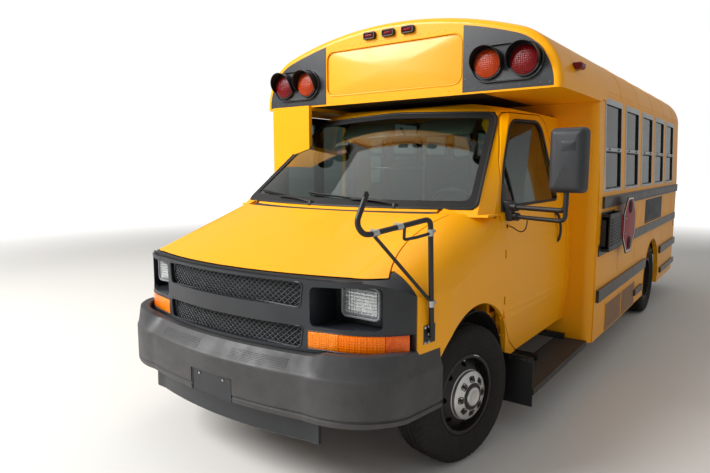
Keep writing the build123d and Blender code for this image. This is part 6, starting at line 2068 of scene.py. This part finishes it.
@dataclass
class Wheels:
    """Tyres, nuts, weights and valves on every wheel, with hub covers in front and hubs behind."""

    lug_r: float = 92.0
    lugs: int = 8
    tyre: Tyre = field(default_factory=Tyre)

    def cover(self) -> Surface:
        """The bright hub cover: a flange, a sloping crown and a flat middle, turned about the axle."""
        profile = [[90, 134], [94, 134], [96, 131], [112, 128.5], [115, 125], [118, 116], [131, 74],
                   [132, 56], [134, 51], [140, 49], [142.5, 45], [143, 38], [142, 34], [141.4, 10]]
        return turned_profile(profile, Plane.LEFT, sides=56)

    def lug_windows(self) -> Surface:
        """Dark square windows round the cover, one for each nut."""
        window = boss(rounded_box(37, 33, 8, 3), [(0, -5), (0, 2.0), (2.5, 2.2), (4.5, -1.5)], Plane.LEFT)
        window = window.turned("Y", -20).moved(x=126, z=self.lug_r)
        return self.around(window, self.lugs)

    def nuts(self) -> Surface:
        """Hexagonal nuts in the windows."""
        nut = turned_profile([[0, 12.0], [8, 12.0], [10, 10.5], [11, 4]], Plane.LEFT, sides=6)
        return self.around(nut.turned("Y", -20).moved(x=122, z=self.lug_r), self.lugs)

    def around(self, shape: Surface, count: int) -> Surface:
        """Copies of a shape at equal turns about the axle, the first one as it is."""
        return joined([shape, *(shape.turned("X", 360 * k / count) for k in range(1, count))])

    def rear_hub(self) -> Surface:
        """The rear axle's end: a stepped flange in the dished wheel."""
        profile = [[-100, 64], [-52, 64], [-50, 60], [-12, 58], [-8, 54], [-6, 40], [-6, 12]]
        return turned_profile(profile, Plane.LEFT)

    def rear_nuts(self) -> Surface:
        """The rear wheel's nuts on its disc."""
        nut = turned_profile([[-128, 11.0], [-104, 11.0], [-102, 9.5], [-101, 3]], Plane.LEFT, sides=6)
        return self.around(nut.moved(z=self.lug_r), self.lugs)

    def balance_weight(self) -> Surface:
        """A small clipped weight on the rim's lip and the valve through a hand hole."""
        turn = np.linspace(radians(62), radians(76), 8)
        clip = arc_bar(np.array([[207.0, 88], [213, 88], [213, 95], [207, 95]]), turn, Plane.LEFT)
        stem = tube([(30, 8, 172), (62, 6, 176), (70, 5, 178)], 4.5, 10, (0, 1, 0), 10)
        return clip + stem

    def build(self) -> None:
        """Makes the wheels' pieces."""
        places = {
            Body.WHEEL_FL: ("front_left", lambda s: s.moved(x=FRONT_TRACK_X, z=TYRE_R)
                            .turned("Z", PARKED_TURN, (KINGPIN_X, 0, 0))),
            Body.WHEEL_FR: ("front_right", lambda s: s.moved(x=FRONT_TRACK_X, z=TYRE_R).mirrored()
                            .turned("Z", PARKED_TURN, (-KINGPIN_X, 0, 0))),
            Body.WHEEL_RL: ("rear_left", lambda s: s.moved(x=DUAL_X[0], y=WHEELBASE, z=TYRE_R)),
            Body.WHEEL_RR: ("rear_right", lambda s: s.moved(x=DUAL_X[0], y=WHEELBASE, z=TYRE_R).mirrored()),
        }
        for body, (name, put) in places.items():
            front = name.startswith("front")
            middles = (0.0,) if front else (0.0, DUAL_X[1] - DUAL_X[0])
            tyre = joined(self.tyre.surface(middle) for middle in middles)
            rubber = piece("tyre_" + name, put(tyre), TYRE, body, 30)
            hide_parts(("tyre_" if front else "tyres_") + name)
            piece("rim_weight_" + name, put(self.balance_weight()), ZINC, body)
            if front:
                piece("hub_cover_" + name, put(self.cover()), HUB_COVER, body)
                piece("lug_windows_" + name, put(self.lug_windows()), DEEP_BLACK, body)
                piece("lug_nuts_" + name, put(self.nuts()), WHEEL_PAINT, body)
            else:
                piece("hub_" + name, put(self.rear_hub()), WHEEL_PAINT, body)
                piece("wheel_nuts_" + name, put(self.rear_nuts()), ZINC, body)


@dataclass
class Studio:
    """Floor, light and the camera that stands where the photograph was taken from."""

    camera_at: Point = (2209.0, -2712.0, 1574.0)
    yaw: float = 36.5
    pitch: float = 7.0
    roll: float = -0.1
    focal_px: float = 566.9
    width_px: float = 710.0
    floor_tone: str = "#d9d7d2"
    key_power: float = 1674.0
    top_power: float = 120.0
    side_power: float = 24.0

    def camera(self) -> None:
        """Puts the camera in: it looks along the fitted yaw and pitch with the fitted focal length."""
        yaw, pitch = radians(self.yaw), radians(self.pitch)
        ahead = Vector((-sin(yaw) * cos(pitch), cos(yaw) * cos(pitch), -sin(pitch)))
        right = Vector((cos(yaw), sin(yaw), 0))
        up = right.cross(ahead)
        turn = Matrix((right, up, -ahead)).transposed() @ Matrix.Rotation(radians(self.roll), 3, "Z")
        lens = bpy.data.cameras.new("camera")
        lens.sensor_width = 36.0
        lens.lens = self.focal_px / self.width_px * 36.0
        lens.clip_end = 200.0
        held = bpy.data.objects.new("camera", lens)
        at = place(np.array([self.camera_at]))[0]
        held.matrix_world = Matrix.Translation(Vector(at)) @ turn.to_4x4()
        bpy.context.scene.collection.objects.link(held)
        bpy.context.scene.camera = held

    def floor(self) -> None:
        """A wide pale floor."""
        reach = 60.0
        corner = np.array([[-reach, -reach, 0], [reach, -reach, 0], [reach, reach, 0], [-reach, reach, 0]])
        mesh = bpy.data.meshes.new("floor")
        mesh.from_pydata(corner, [], [[0, 1, 2, 3]])
        finish = FloorFinish("pale_floor_paint", self.floor_tone, rough=0.8, patch=0.0, grain=0.0,
                             specular=0.2)
        mesh.materials.append(finish.material())
        made = bpy.data.objects.new("floor", mesh)
        bpy.context.scene.collection.objects.link(made)

    def lamp(self, name: str, at: Point, aim: Point, size: float,
             power: float) -> None:
        """One soft square lamp, in metres."""
        data = bpy.data.lights.new(name, "AREA")
        data.shape = "SQUARE"
        data.size = size
        data.energy = power
        made = bpy.data.objects.new(name, data)
        made.location = at
        made.rotation_euler = (Vector(aim) - Vector(at)).to_track_quat("-Z", "Y").to_euler()
        bpy.context.scene.collection.objects.link(made)

    def light(self) -> None:
        """A key lamp from ahead on the bus's right, weak lamps above and on its left, and a pale sky."""
        self.lamp("key_lamp", (-5.5, -9.0, 7.5), (0, -1.5, 1.2), 5.0, self.key_power)
        self.lamp("top_lamp", (-1.5, 0.5, 8.0), (0, 0, 1.5), 6.0, self.top_power)
        self.lamp("side_lamp", (8.0, -3.0, 3.5), (0, 0, 1.2), 5.0, self.side_power)
        world = bpy.data.worlds.new("pale_sky")
        bpy.context.scene.world = world
        world.use_nodes = True
        tree = world.node_tree
        tree.nodes.clear()
        path = add(tree, "LightPath")
        level = add(tree, "MapRange", {"Value": path.outputs["Is Camera Ray"]},
                    {"To Min": 0.42, "To Max": 1.0})
        sky = add(tree, "Background", {"Strength": level.outputs[0]}, {"Color": (1.0, 1.0, 1.0, 1.0)})
        add(tree, "OutputWorld", {"Surface": sky.outputs[0]})

    def build(self) -> None:
        """Sets up the whole studio."""
        scene = bpy.context.scene
        scene.view_settings.view_transform = "Standard"
        self.camera()
        self.floor()
        self.light()


def dress_cad() -> None:
    """Gives every CAD node its own finish."""
    for finish, names in CAD_FINISHES.items():
        for name in names.split():
            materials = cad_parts[name].data.materials
            materials.clear()
            materials.append(finish.material())


def main() -> None:
    """Builds the scene's parts in order and reports each piece."""
    logging.basicConfig(level=logging.INFO, format="%(name)s %(message)s")
    Studio().build()
    dress_cad()
    for part in (FrontCap(), Nose(), FrontBumper(), Windscreen(), DriverDoor(), Mirror(), MirrorBracket(),
                 BodySides(), StopArm(), Rear(), Cabin(), Steps(), Roof(), Wheels()):
        LOG.info("building %s", type(part).__name__)
        part.build()


if __name__ == "__main__":
    main()
